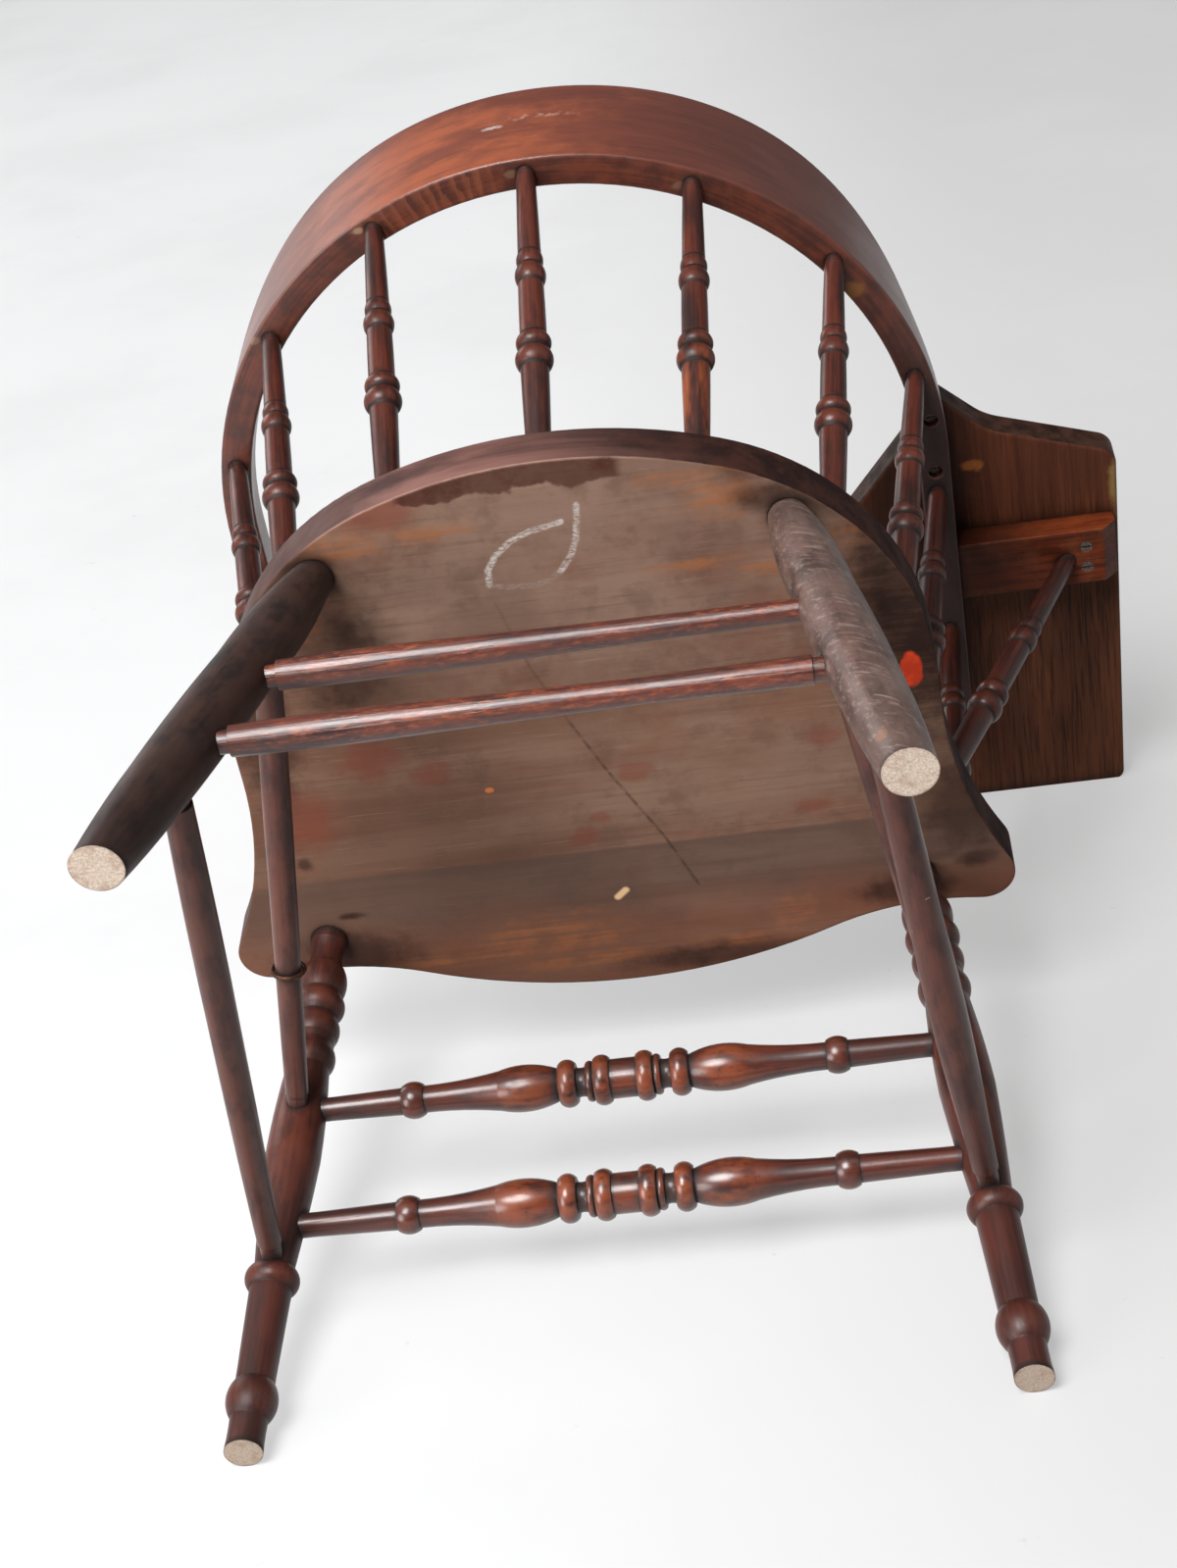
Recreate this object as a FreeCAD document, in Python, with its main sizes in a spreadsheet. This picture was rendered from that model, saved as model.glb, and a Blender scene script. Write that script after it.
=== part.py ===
import FreeCAD, Part
import math
import os
from FreeCAD import Placement, Rotation, Vector

# Writing arm windsor chair, in millimetres.
# The chair stands on its four feet on z = 0 with its front towards -Y. The sitter's left hand is on +X, and
# the writing tablet is on the sitter's right, on -X. Places are first given from the middle of the seat
# (chair coordinates), and every placement then moves them to the row's origin, the middle of the footprint.

doc = FreeCAD.newDocument("writing_arm_chair")
sheet = doc.addObject("Spreadsheet::Sheet", "sizes")

DRIVING_SIZES = (
    # seat plank
    ("seat_height", 400.0, "floor to the flat underside of the seat"),
    ("seat_thickness", 38.0, "plank"),
    ("seat_half_width", 235.0, "behind the waist"),
    ("seat_back_reach", 184.0, "middle of the back edge"),
    ("seat_front_reach", 244.0, "middle of the front edge"),
    ("seat_back_radius", 330.0, "long curve of the back edge"),
    ("seat_shoulder_radius", 184.0, "curve from the back edge into each side"),
    ("seat_waist_start", 30.0, "where each side starts to flare, ahead of the middle"),
    ("seat_waist_radius", 300.0, "hollow flare from each side to the ear"),
    ("seat_ear_half_width", 274.0, "widest place, at the front ears"),
    ("seat_ear_radius", 22.0, "rounded tip of an ear"),
    ("seat_front_hollow_radius", 200.0, "hollow curve between an ear and the front bow"),
    ("seat_front_radius", 396.0, "bow of the front edge"),
    ("seat_edge_round", 3.0, "top edge"),
    ("saddle_depth", 9.0, "deepest place of the sitter's hollow"),
    ("saddle_length", 240.0, "front to back"),
    ("saddle_width", 350.0, "side to side"),
    ("saddle_middle", 8.0, "behind the middle of the seat"),
    ("thigh_depth", 11.0, "of each hollow that runs out at the front edge"),
    ("thigh_length", 360.0, "of each thigh hollow"),
    ("thigh_width", 180.0, "of each thigh hollow"),
    ("thigh_offset", 86.0, "from the middle to each thigh hollow"),
    ("thigh_middle", 150.0, "ahead of the middle of the seat"),
    # legs
    ("back_foot_half", 204.0, "middle line to the middle of a back foot"),
    ("back_foot_reach", 216.0, "behind the middle"),
    ("back_top_half", 151.5, "middle line to a back leg at the seat"),
    ("back_top_reach", 121.5, "behind the middle"),
    ("front_foot_half", 237.0, "middle line to the middle of a front foot"),
    ("front_foot_reach", 237.0, "ahead of the middle"),
    ("front_top_half", 207.0, "middle line to a front leg at the seat"),
    ("front_top_reach", 177.0, "ahead of the middle"),
    ("back_leg_radius", 19.4, "at its fullest"),
    ("front_leg_radius", 18.5, "at its fullest ring"),
    ("leg_tenon_radius", 12.4, "round tenon in the seat"),
    ("leg_socket_depth", 28.0, "blind socket in the seat, along the leg"),
    # stretchers, with heights where their axes meet the leg axes
    ("front_upper_height", 251.0, "upper front stretcher"),
    ("front_lower_height", 160.0, "lower front stretcher"),
    ("rear_upper_height", 236.0, "upper rear stretcher"),
    ("rear_lower_height", 144.5, "lower rear stretcher"),
    ("side_upper_back_height", 293.0, "upper side stretcher at the back leg"),
    ("side_upper_front_height", 243.0, "upper side stretcher at the front leg"),
    ("side_lower_back_height", 115.0, "lower side stretcher at the back leg"),
    ("side_lower_front_height", 131.0, "lower side stretcher at the front leg"),
    ("front_stretcher_radius", 16.8, "at its fullest bead"),
    ("front_stretcher_turned_half", 148.0, "middle to the outer end of the outer bead"),
    ("rear_stretcher_radius", 9.7, "at its fullest"),
    ("side_stretcher_radius", 9.5, "at its fullest"),
    ("side_swelled_radius", 11.2, "lower right side stretcher at its fullest"),
    ("front_stretcher_tenon_radius", 8.0, "round tenon in a leg"),
    ("rod_tenon_radius", 6.8, "round tenon of a rear or side stretcher"),
    ("tenon_tip_gap", 6.0, "leg axis to the tip of a stretcher's tenon"),
    # bent rail: arms and back in one piece
    ("rail_height", 663.0, "floor to the flat underside of the rail"),
    ("rail_outer_radius", 267.0, "outer face of the bent back, and of each arm"),
    ("rail_inner_radius", 245.0, "inner face of the bent back, and of each arm"),
    ("arm_front_reach", 235.0, "front end of an arm, ahead of the middle"),
    ("arm_thickness", 30.0, "height of an arm"),
    ("crest_height", 119.0, "height of the rail at the middle of the back"),
    ("rise_start_reach", 46.0, "where the rail starts to rise, behind the middle"),
    ("rise_turn_reach", 100.0, "where the hollow of the rise turns into a bow"),
    ("rise_turn_height", 55.0, "height of the rail where the rise turns"),
    ("rail_top_round", 3.5, "upper edges of the rail"),
    ("rail_bottom_round", 1.5, "lower edges of the rail"),
    # spindles, the places of their axes at the seat's top and at the rail's underside
    ("spindle_radius", 12.7, "at its fullest ring"),
    ("spindle_foot_radius", 7.8, "tenon in the seat"),
    ("spindle_top_radius", 6.2, "tenon in the rail"),
    ("spindle_foot_depth", 18.0, "blind sockets in the seat"),
    ("spindle_top_depth", 11.0, "blind sockets in the rail"),
    ("centre_spindle_foot_reach", 163.0, "behind the middle"),
    ("inner_spindle_foot_half", 99.8, "from the middle line"),
    ("inner_spindle_foot_reach", 152.6, "behind the middle"),
    ("outer_spindle_foot_half", 179.6, "from the middle line"),
    ("outer_spindle_foot_reach", 96.0, "behind the middle"),
    ("corner_spindle_foot_half", 215.4, "from the middle line"),
    ("corner_spindle_foot_reach", 13.3, "behind the middle"),
    ("arm_spindle_foot_half", 222.0, "from the middle line"),
    ("arm_spindle_foot_reach", 80.0, "ahead of the middle"),
    ("arm_post_foot_half", 236.0, "from the middle line"),
    ("arm_post_foot_reach", 188.0, "ahead of the middle"),
    ("spindle_circle_radius", 255.0, "circle of the back spindles under the rail"),
    ("arm_spindle_top_reach", 38.0, "ahead of the middle"),
    ("arm_post_top_reach", 160.0, "ahead of the middle"),
    # writing tablet
    ("tablet_thickness", 26.0, "board"),
    ("tablet_outer_reach", 390.0, "middle line to the outer back corner"),
    ("tablet_front_reach", 347.0, "front edge, ahead of the middle"),
    ("tablet_taper", 6.0, "outer edge runs in towards the front"),
    ("tablet_back_reach", 40.0, "outer back corner, ahead of the middle"),
    ("tablet_inner_reach", 148.0, "middle line to the inner edge"),
    ("tablet_inner_turn_reach", 118.0, "where the inner edge turns in towards the arm, ahead of the middle"),
    ("tablet_throat_half", 239.0, "middle line to the hollow of the inner edge beside the arm"),
    ("tablet_throat_reach", 8.0, "the same hollow, ahead of the middle"),
    ("tablet_tail_half", 244.0, "middle line to the tip of the tail on the arm"),
    ("tablet_tail_reach", 42.0, "tip of the tail, behind the middle"),
    ("tablet_neck_half", 297.5, "middle line to the hollow of the back edge"),
    ("tablet_neck_reach", 8.1, "the same hollow, ahead of the middle"),
    ("tablet_back_corner_radius", 15.0, "outer back corner"),
    ("tablet_front_corner_radius", 10.0, "outer front corner"),
    ("tablet_inner_corner_radius", 75.0, "inner front corner"),
    ("tablet_inner_turn_radius", 110.0, "full curve of the inner edge"),
    ("tablet_throat_radius", 22.0, "hollow beside the arm"),
    ("tablet_tail_radius", 8.0, "tip of the tail"),
    ("tablet_neck_radius", 50.0, "hollow of the back edge"),
    ("tablet_edge_round", 2.5, "top and bottom edges"),
    # batten, brace and fastenings
    ("batten_thickness", 23.0, "strip under the tablet"),
    ("batten_width", 46.0, "front to back"),
    ("batten_back_reach", 91.0, "its back face, ahead of the middle"),
    ("batten_end_gap", 5.0, "tablet's outer edge to the batten's end"),
    ("batten_chamfer", 10.0, "lower outer end"),
    ("batten_arm_gap", 0.3, "between the batten and the arm"),
    ("brace_foot_half", 230.0, "middle line to the brace at the seat's top"),
    ("brace_foot_reach", 134.0, "ahead of the middle"),
    ("brace_top_inset", 43.0, "outer back corner of the tablet to the brace at the batten"),
    ("brace_top_reach", 116.0, "ahead of the middle"),
    ("brace_top_depth", 16.0, "blind socket in the batten"),
    ("screw_head_radius", 4.4, "countersunk slotted screw"),
    ("screw_head_height", 3.2, "countersunk slotted screw"),
    ("screw_shank_radius", 2.1, "countersunk slotted screw"),
    ("screw_length", 34.0, "head to tip"),
    ("screw_slot_width", 1.0, "slot in the head"),
    ("arm_counterbore_radius", 5.2, "deep hole over each arm screw"),
    ("arm_counterbore_depth", 6.0, "deep hole over each arm screw"),
    ("rear_arm_screw_reach", 23.0, "behind the middle"),
    ("front_arm_screw_reach", 20.0, "ahead of the middle"),
    ("batten_screw_inset", 28.0, "outer back corner of the tablet to the batten's screws"),
    ("batten_screw_spacing", 18.0, "between the two screws"),
    ("batten_screw_length", 38.0, "head to tip"),
    # wire loop on the left upper side stretcher
    ("loop_radius", 10.3, "middle line of the ring"),
    ("loop_wire_radius", 1.6, "wire"),
    # joints
    ("joint_clearance", 0.12, "all round a tenon in its socket"),
    ("socket_end_clearance", 1.0, "beyond the tip of a tenon"),
    ("tenon_reveal", 5.0, "length of tenon that shows before the body starts"),
    ("cut_overrun", 20.0, "how far a cutter runs past the surface that it opens"),
    ("seat_gap", 0.2, "between flat faces that bear on each other"),
)

# Turned outlines. Each row is a height as a share of the turned length, a radius as a share of the piece's
# fullest radius, and the radius midway to the next row where that stretch is round. None means straight.
BACK_LEG_SHARES = (
    (0.00, 0.735, 0.880),
    (0.24, 0.945, 1.000),
    (0.62, 0.965, 0.985),
    (0.82, 0.960, 0.855),
    (1.00, 0.685, None),
)
FRONT_LEG_SHARES = (
    (0.000, 0.655, 0.630),
    (0.056, 0.640, 0.880),
    (0.119, 0.668, None),
    (0.286, 0.738, None),
    (0.288, 0.790, 0.955),
    (0.324, 0.760, None),
    (0.326, 0.690, 0.868),
    (0.540, 0.995, 0.940),
    (0.722, 0.795, None),
    (0.728, 0.850, 0.957),
    (0.764, 0.850, None),
    (0.774, 0.800, None),
    (0.788, 0.840, 0.950),
    (0.826, 0.840, None),
    (0.835, 0.775, None),
    (0.842, 0.860, 1.000),
    (0.876, 0.880, None),
    (0.884, 0.820, 0.930),
    (0.948, 0.680, 0.600),
    (1.000, 0.685, None),
)
SPINDLE_SHARES = (
    (0.000, 0.635, 0.700),
    (0.292, 0.745, None),
    (0.298, 0.810, 1.000),
    (0.354, 0.810, None),
    (0.364, 0.760, 0.930),
    (0.408, 0.750, None),
    (0.414, 0.705, 0.700),
    (0.600, 0.680, None),
    (0.606, 0.715, 0.830),
    (0.658, 0.715, None),
    (0.668, 0.650, 0.720),
    (0.710, 0.640, None),
    (0.716, 0.620, 0.580),
    (1.000, 0.525, None),
)
# half of the front stretcher, from its middle outwards
FRONT_STRETCHER_SHARES = (
    (0.000, 0.785, None),
    (0.058, 0.785, None),
    (0.060, 0.870, 1.000),
    (0.132, 0.870, None),
    (0.134, 0.730, 0.810),
    (0.168, 0.730, None),
    (0.170, 0.600, 0.570),
    (0.210, 0.600, None),
    (0.212, 0.780, 0.950),
    (0.292, 0.780, None),
    (0.294, 0.640, 0.925),
    (0.560, 0.790, 0.600),
    (0.902, 0.540, None),
    (0.904, 0.610, 0.745),
    (1.000, 0.610, None),
)
REAR_UPPER_SHARES = (
    (0.00, 0.93, 0.985),
    (0.30, 0.94, 0.830),
    (0.75, 0.74, 0.710),
    (1.00, 0.70, None),
)
REAR_LOWER_SHARES = (
    (0.00, 0.92, 1.000),
    (0.30, 0.95, 0.840),
    (0.72, 0.76, 0.820),
    (1.00, 0.86, None),
)
SIDE_UPPER_SHARES = (
    (0.00, 0.88, 0.960),
    (0.45, 0.93, 0.880),
    (1.00, 0.80, None),
)
SIDE_LOWER_SHARES = (
    (0.00, 0.90, 1.000),
    (0.50, 0.98, 0.930),
    (1.00, 0.82, None),
)
SIDE_SWELLED_SHARES = (
    (0.00, 0.76, 0.840),
    (0.40, 0.88, 1.000),
    (0.82, 0.88, 0.780),
    (1.00, 0.72, None),
)

# Where the wire loop sits along the left upper side stretcher, from its back end.
LOOP_PLACE_SHARE = 0.66
# Angles round the bent rail from the middle of the back to each pair of back spindles, in degrees.
INNER_SPINDLE_ANGLE = 25.7
OUTER_SPINDLE_ANGLE = 51.6
CORNER_SPINDLE_ANGLE = 76.4
HALF_TURN = math.degrees(math.pi)
# Radius where the plain ends of a front stretcher start, as a share of its fullest radius.
PLAIN_END_SHARE = 0.545


def fill_sheet():
    for row, (alias, value, note) in enumerate(DRIVING_SIZES, start=1):
        sheet.set(f"A{row}", alias)
        sheet.set(f"B{row}", str(value))
        sheet.set(f"C{row}", note)
        sheet.setAlias(f"B{row}", alias)
    doc.recompute()


fill_sheet()


def size(alias):
    return float(sheet.get(alias))


# The row's origin is the middle of the footprint of the whole chair, on the floor.
footprint_middle = Vector(
    (size("seat_ear_half_width") - size("tablet_outer_reach")) / 2,
    (size("rail_outer_radius") - size("tablet_front_reach")) / 2,
    0,
)


def placed(point, direction):
    """Placement of a piece whose own Z axis starts at a point in chair coordinates and runs a given way."""
    turn = Rotation(Vector(0, 0, 1), direction)
    return Placement(point - footprint_middle, turn)


def upright(point):
    return Placement(point - footprint_middle, Rotation())


def new_body(label, placement):
    body = doc.addObject("PartDesign::Body", label)
    body.Label = label
    body.Placement = placement
    return body


def sketch_on(body, role, name):
    sketch = body.newObject("Sketcher::SketchObject", name)
    plane = [feature for feature in body.Origin.OriginFeatures if feature.Role == role][0]
    sketch.AttachmentSupport = [(plane, "")]
    sketch.MapMode = "FlatFace"
    return sketch


def flat(point):
    """Sketch point from a pair of numbers."""
    return Vector(point[0], point[1], 0)


def line(start, end):
    return Part.LineSegment(flat(start), flat(end))


def arc(start, middle, end):
    return Part.Arc(flat(start), flat(middle), flat(end))


def polar(centre, radius, degrees):
    angle = math.radians(degrees)
    return (centre[0] + radius * math.cos(angle), centre[1] + radius * math.sin(angle))


def bearing(start, end):
    """Direction from one point to another, in degrees."""
    return math.degrees(math.atan2(end[1] - start[1], end[0] - start[0]))


def round_arc(centre, radius, start_angle, end_angle):
    """Arc about a centre from one direction to another, in degrees."""
    middle_angle = (start_angle + end_angle) / 2
    points = [polar(centre, radius, angle) for angle in (start_angle, middle_angle, end_angle)]
    return arc(*points)


def leaving(start, heading, end):
    """Arc from start, where it heads in the given direction, to end, and the direction it has there."""
    chord_angle = bearing(start, end)
    chord = math.hypot(end[0] - start[0], end[1] - start[1])
    rise = math.tan(math.radians((heading - chord_angle) / 2)) * chord / 2
    chord_middle = ((start[0] + end[0]) / 2, (start[1] + end[1]) / 2)
    middle = polar(chord_middle, rise, chord_angle + 90)
    return arc(start, middle, end), 2 * chord_angle - heading


def rounded_outline(corners):
    """Closed outline of straight sides, given as corner points, each with the radius that rounds it."""
    ends = []
    arcs = []
    for number, (corner, radius) in enumerate(corners):
        before = corners[number - 1][0]
        after = corners[(number + 1) % len(corners)][0]
        way_in = bearing(corner, before)
        way_out = bearing(corner, after)
        opening = math.radians((way_out - way_in) % 360)
        if opening > math.pi:
            opening = 2 * math.pi - opening
        setback = radius / math.tan(opening / 2)
        start = polar(corner, setback, way_in)
        end = polar(corner, setback, way_out)
        half_way = ((start[0] + end[0]) / 2, (start[1] + end[1]) / 2)
        to_centre = bearing(corner, half_way)
        middle = polar(corner, radius / math.sin(opening / 2) - radius, to_centre)
        arcs.append(arc(start, middle, end))
        ends.append((start, end))
    curves = []
    for number, curve in enumerate(arcs):
        curves.append(curve)
        curves.append(line(ends[number][1], ends[(number + 1) % len(ends)][0]))
    return curves


def turned_curves(shares, radius, start, length):
    """Curves of a turned outline from a table of shares, in the sketch's (radius, height)."""
    curves = []
    for lower, upper in zip(shares, shares[1:]):
        low = (lower[1] * radius, start + lower[0] * length)
        high = (upper[1] * radius, start + upper[0] * length)
        if lower[2] is None:
            curves.append(line(low, high))
        else:
            curves.append(arc(low, (lower[2] * radius, (low[1] + high[1]) / 2), high))
    return curves


def joined(curves):
    """The same curves with a straight line wherever two in a row don't meet."""
    chain = [curves[0]]
    for curve in curves[1:]:
        last = chain[-1].EndPoint
        if last.distanceToPoint(curve.StartPoint) > Part.Precision.confusion():
            chain.append(Part.LineSegment(last, curve.StartPoint))
        chain.append(curve)
    return chain


def revolve(body, name, curves):
    """Turn an open outline, given from bottom to top, about the body's own Z axis."""
    bottom = curves[0].StartPoint
    top = curves[-1].EndPoint
    axis = line((0, top.y), (0, bottom.y))
    outline = [line((0, bottom.y), bottom)] + curves + [line(top, (0, top.y)), axis]
    sketch = sketch_on(body, "XZ_Plane", name + "_outline")
    sketch.addGeometry(outline, False)
    turning = body.newObject("PartDesign::Revolution", name)
    turning.Profile = sketch
    turning.ReferenceAxis = (sketch, ["V_Axis"])
    turning.Angle = 360
    return turning


def tenoned(curves, foot_radius, foot_depth, top_radius, top_end, reveal):
    """Add round tenons below and above a turned outline, which stops short of both sockets by the reveal."""
    start = curves[0].StartPoint.y
    end = curves[-1].EndPoint.y
    foot = line((foot_radius, start - reveal - foot_depth), (foot_radius, start))
    top = line((top_radius, end), (top_radius, end + reveal + top_end))
    return joined([foot] + curves + [top])


def bore(body, name, point, direction, radius, depth):
    """Blind round socket. The point is where its axis crosses the surface, direction is the way out."""
    cutter = body.newObject("PartDesign::SubtractiveCylinder", name)
    cutter.setExpression("Radius", radius)
    cutter.setExpression("Height", f"{depth} + sizes.cut_overrun")
    doc.recompute()
    deep = depth_of(depth)
    inner = point - direction.normalize() * deep
    cutter.Placement = body.Placement.inverse() * placed(inner, direction)
    return cutter


def depth_of(expression):
    """Value of an expression such as 'sizes.a + sizes.b' over the sheet's names."""
    total = 0.0
    for term in expression.split("+"):
        total += size(term.strip().replace("sizes.", ""))
    return total


def edges_at(shape, height, tolerance):
    """Names of the edges that lie wholly at one height."""
    names = []
    for number, edge in enumerate(shape.Edges, start=1):
        box = edge.BoundBox
        if abs(box.ZMin - height) < tolerance and abs(box.ZMax - height) < tolerance:
            names.append(f"Edge{number}")
    return names


def round_edges(body, name, base, names, radius):
    fillet = body.newObject("PartDesign::Fillet", name)
    fillet.Base = (base, names)
    fillet.setExpression("Radius", radius)
    doc.recompute()
    return fillet


# Places on the legs

LEFT = 1
RIGHT = -1
SIDE_NAMES = {LEFT: "left", RIGHT: "right"}


def leg_line(end, side):
    """Foot centre on the floor and the point where the axis enters the seat's underside."""
    way = 1 if end == "back" else -1
    foot = Vector(side * size(f"{end}_foot_half"), way * size(f"{end}_foot_reach"), 0)
    top = Vector(side * size(f"{end}_top_half"), way * size(f"{end}_top_reach"), size("seat_height"))
    return foot, top


def leg_point(end, side, height):
    foot, top = leg_line(end, side)
    return foot + (top - foot) * (height / size("seat_height"))


# Stretchers run between points on the leg axes. Each entry: label, the two legs with heights, shares, sizes.
STRETCHERS = (
    ("front_stretcher_upper", ("front", LEFT, "front_upper_height"), ("front", RIGHT, "front_upper_height"),
     FRONT_STRETCHER_SHARES, "front_stretcher_radius", "front_stretcher_tenon_radius"),
    ("front_stretcher_lower", ("front", LEFT, "front_lower_height"), ("front", RIGHT, "front_lower_height"),
     FRONT_STRETCHER_SHARES, "front_stretcher_radius", "front_stretcher_tenon_radius"),
    ("rear_stretcher_upper", ("back", LEFT, "rear_upper_height"), ("back", RIGHT, "rear_upper_height"),
     REAR_UPPER_SHARES, "rear_stretcher_radius", "rod_tenon_radius"),
    ("rear_stretcher_lower", ("back", LEFT, "rear_lower_height"), ("back", RIGHT, "rear_lower_height"),
     REAR_LOWER_SHARES, "rear_stretcher_radius", "rod_tenon_radius"),
    ("side_stretcher_left_upper",
     ("back", LEFT, "side_upper_back_height"), ("front", LEFT, "side_upper_front_height"),
     SIDE_UPPER_SHARES, "side_stretcher_radius", "rod_tenon_radius"),
    ("side_stretcher_left_lower",
     ("back", LEFT, "side_lower_back_height"), ("front", LEFT, "side_lower_front_height"),
     SIDE_LOWER_SHARES, "side_stretcher_radius", "rod_tenon_radius"),
    ("side_stretcher_right_upper",
     ("back", RIGHT, "side_upper_back_height"), ("front", RIGHT, "side_upper_front_height"),
     SIDE_UPPER_SHARES, "side_stretcher_radius", "rod_tenon_radius"),
    ("side_stretcher_right_lower",
     ("back", RIGHT, "side_lower_back_height"), ("front", RIGHT, "side_lower_front_height"),
     SIDE_SWELLED_SHARES, "side_swelled_radius", "rod_tenon_radius"),
)


def stretcher_line(entry):
    (start_end, start_side, start_height), (stop_end, stop_side, stop_height) = entry[1], entry[2]
    start = leg_point(start_end, start_side, size(start_height))
    stop = leg_point(stop_end, stop_side, size(stop_height))
    return start, stop


def stretcher_bores(body, end, side):
    """Sockets in one leg for every stretcher that ends in it."""
    for entry in STRETCHERS:
        start, stop = stretcher_line(entry)
        for here, there, (leg_end, leg_side, height) in ((start, stop, entry[1]), (stop, start, entry[2])):
            if (leg_end, leg_side) != (end, side):
                continue
            way = (there - here).normalize()
            inner = here + way * (size("tenon_tip_gap") - size("socket_end_clearance"))
            cutter = body.newObject("PartDesign::SubtractiveCylinder", entry[0] + "_socket")
            cutter.setExpression("Radius", f"sizes.{entry[5]} + sizes.joint_clearance")
            cutter.setExpression("Height", f"sizes.{end}_leg_radius + sizes.cut_overrun")
            cutter.Placement = body.Placement.inverse() * placed(inner, way)


def make_leg(end, side):
    foot, top = leg_line(end, side)
    axis = top - foot
    length = axis.Length
    label = f"{end}_leg_{SIDE_NAMES[side]}"
    body = new_body(label, placed(foot, axis))
    shares = BACK_LEG_SHARES if end == "back" else FRONT_LEG_SHARES
    radius = size(f"{end}_leg_radius")
    turned_length = length - size("tenon_reveal")
    curves = turned_curves(shares, radius, 0, turned_length)
    # the leg is turned a little too long at the foot, and the floor plane then cuts it flat
    foot_radius = shares[0][1] * radius
    tenon_radius = size("leg_tenon_radius")
    tip = length + size("leg_socket_depth") - size("socket_end_clearance")
    extra = foot_radius
    curves = [line((foot_radius, -extra), (foot_radius, 0))] + curves
    curves.append(line((tenon_radius, turned_length), (tenon_radius, tip)))
    revolve(body, label + "_turning", joined(curves))
    floor = body.newObject("PartDesign::SubtractiveBox", label + "_floor_cut")
    floor.setExpression("Length", f"4 * sizes.{end}_leg_radius")
    floor.setExpression("Width", f"4 * sizes.{end}_leg_radius")
    floor.setExpression("Height", f"2 * sizes.{end}_leg_radius")
    half = 2 * radius
    corner = Vector(foot.x - half, foot.y - half, -half)
    floor.Placement = body.Placement.inverse() * upright(corner)
    stretcher_bores(body, end, side)
    return body


def make_stretcher(entry):
    label, shares, radius_name, tenon_name = entry[0], entry[3], entry[4], entry[5]
    start, stop = stretcher_line(entry)
    length = (stop - start).Length
    radius = size(radius_name)
    tenon = size(tenon_name)
    tip = size("tenon_tip_gap")
    body = new_body(label, placed(start, stop - start))
    if shares is FRONT_STRETCHER_SHARES:
        # turned in two mirrored halves about the middle, with plain ends that run into the legs
        half = size("front_stretcher_turned_half")
        outward = turned_curves(shares, radius, 0, half)
        upper = [shifted(curve, length / 2) for curve in outward]
        lower = [flipped(curve, length / 2) for curve in reversed(outward)]
        reach = size("front_leg_radius") + size("tenon_reveal")
        end_radius = PLAIN_END_SHARE * radius
        curves = [line((tenon, tip), (tenon, reach))]
        curves.append(line((tenon, reach), (end_radius, length / 2 - half)))
        curves += lower + upper
        curves.append(line((end_radius, length / 2 + half), (tenon, length - reach)))
        curves.append(line((tenon, length - reach), (tenon, length - tip)))
    else:
        reach = size("back_leg_radius") + size("tenon_reveal")
        body_curves = turned_curves(shares, radius, reach, length - 2 * reach)
        curves = [line((tenon, tip), (tenon, reach))] + body_curves
        curves.append(line((tenon, length - reach), (tenon, length - tip)))
    revolve(body, label + "_turning", joined(curves))
    return body


def shifted(curve, height):
    moved = curve.copy()
    moved.translate(Vector(0, height, 0))
    return moved


def flipped(curve, height):
    """Mirror image of a curve below the given height, running upwards."""
    ends = []
    half_way = (curve.FirstParameter + curve.LastParameter) / 2
    for parameter in (curve.LastParameter, half_way, curve.FirstParameter):
        point = curve.value(parameter)
        ends.append((point.x, height - point.y))
    if isinstance(curve, Part.LineSegment):
        return line(ends[0], ends[2])
    return arc(*ends)


# Spindles: foot on the seat's top, top on the rail's underside

def seat_top():
    return size("seat_height") + size("seat_thickness")


def arm_middle():
    """Distance from the middle line to the middle of an arm."""
    return (size("rail_outer_radius") + size("rail_inner_radius")) / 2


def on_rail(side, degrees):
    """Middle of the rail's underside, at an angle round the bend from the middle of the back."""
    x, y = polar((0, 0), size("spindle_circle_radius"), 90 - degrees)
    return Vector(side * x, y, size("rail_height"))


def spindle_lines():
    low = seat_top()
    high = size("rail_height")
    lines = {"back_spindle_centre": (Vector(0, size("centre_spindle_foot_reach"), low), on_rail(LEFT, 0))}
    for side, name in SIDE_NAMES.items():
        for label, place, degrees in (
            ("back_spindle_inner", "inner", INNER_SPINDLE_ANGLE),
            ("back_spindle_outer", "outer", OUTER_SPINDLE_ANGLE),
            ("corner_spindle", "corner", CORNER_SPINDLE_ANGLE),
        ):
            lines[f"{label}_{name}"] = (
                Vector(side * size(f"{place}_spindle_foot_half"), size(f"{place}_spindle_foot_reach"), low),
                on_rail(side, degrees),
            )
        for label in ("arm_spindle", "arm_post"):
            lines[f"{label}_{name}"] = (
                Vector(side * size(f"{label}_foot_half"), -size(f"{label}_foot_reach"), low),
                Vector(side * arm_middle(), -size(f"{label}_top_reach"), high),
            )
    return lines


def make_spindle(label, foot, top, top_depth):
    axis = top - foot
    reveal = size("tenon_reveal")
    curves = turned_curves(SPINDLE_SHARES, size("spindle_radius"), reveal, axis.Length - 2 * reveal)
    foot_depth = size("spindle_foot_depth") - size("socket_end_clearance")
    tip_depth = top_depth - size("socket_end_clearance")
    foot_radius = size("spindle_foot_radius")
    top_radius = size("spindle_top_radius")
    outline = tenoned(curves, foot_radius, foot_depth, top_radius, tip_depth, reveal)
    body = new_body(label, placed(foot, axis))
    revolve(body, label + "_turning", outline)
    return body


def brace_line():
    foot = Vector(-size("brace_foot_half"), -size("brace_foot_reach"), seat_top())
    across = size("tablet_outer_reach") - size("brace_top_inset")
    top = Vector(-across, -size("brace_top_reach"), batten_bottom())
    return foot, top


# Seat plank

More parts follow.
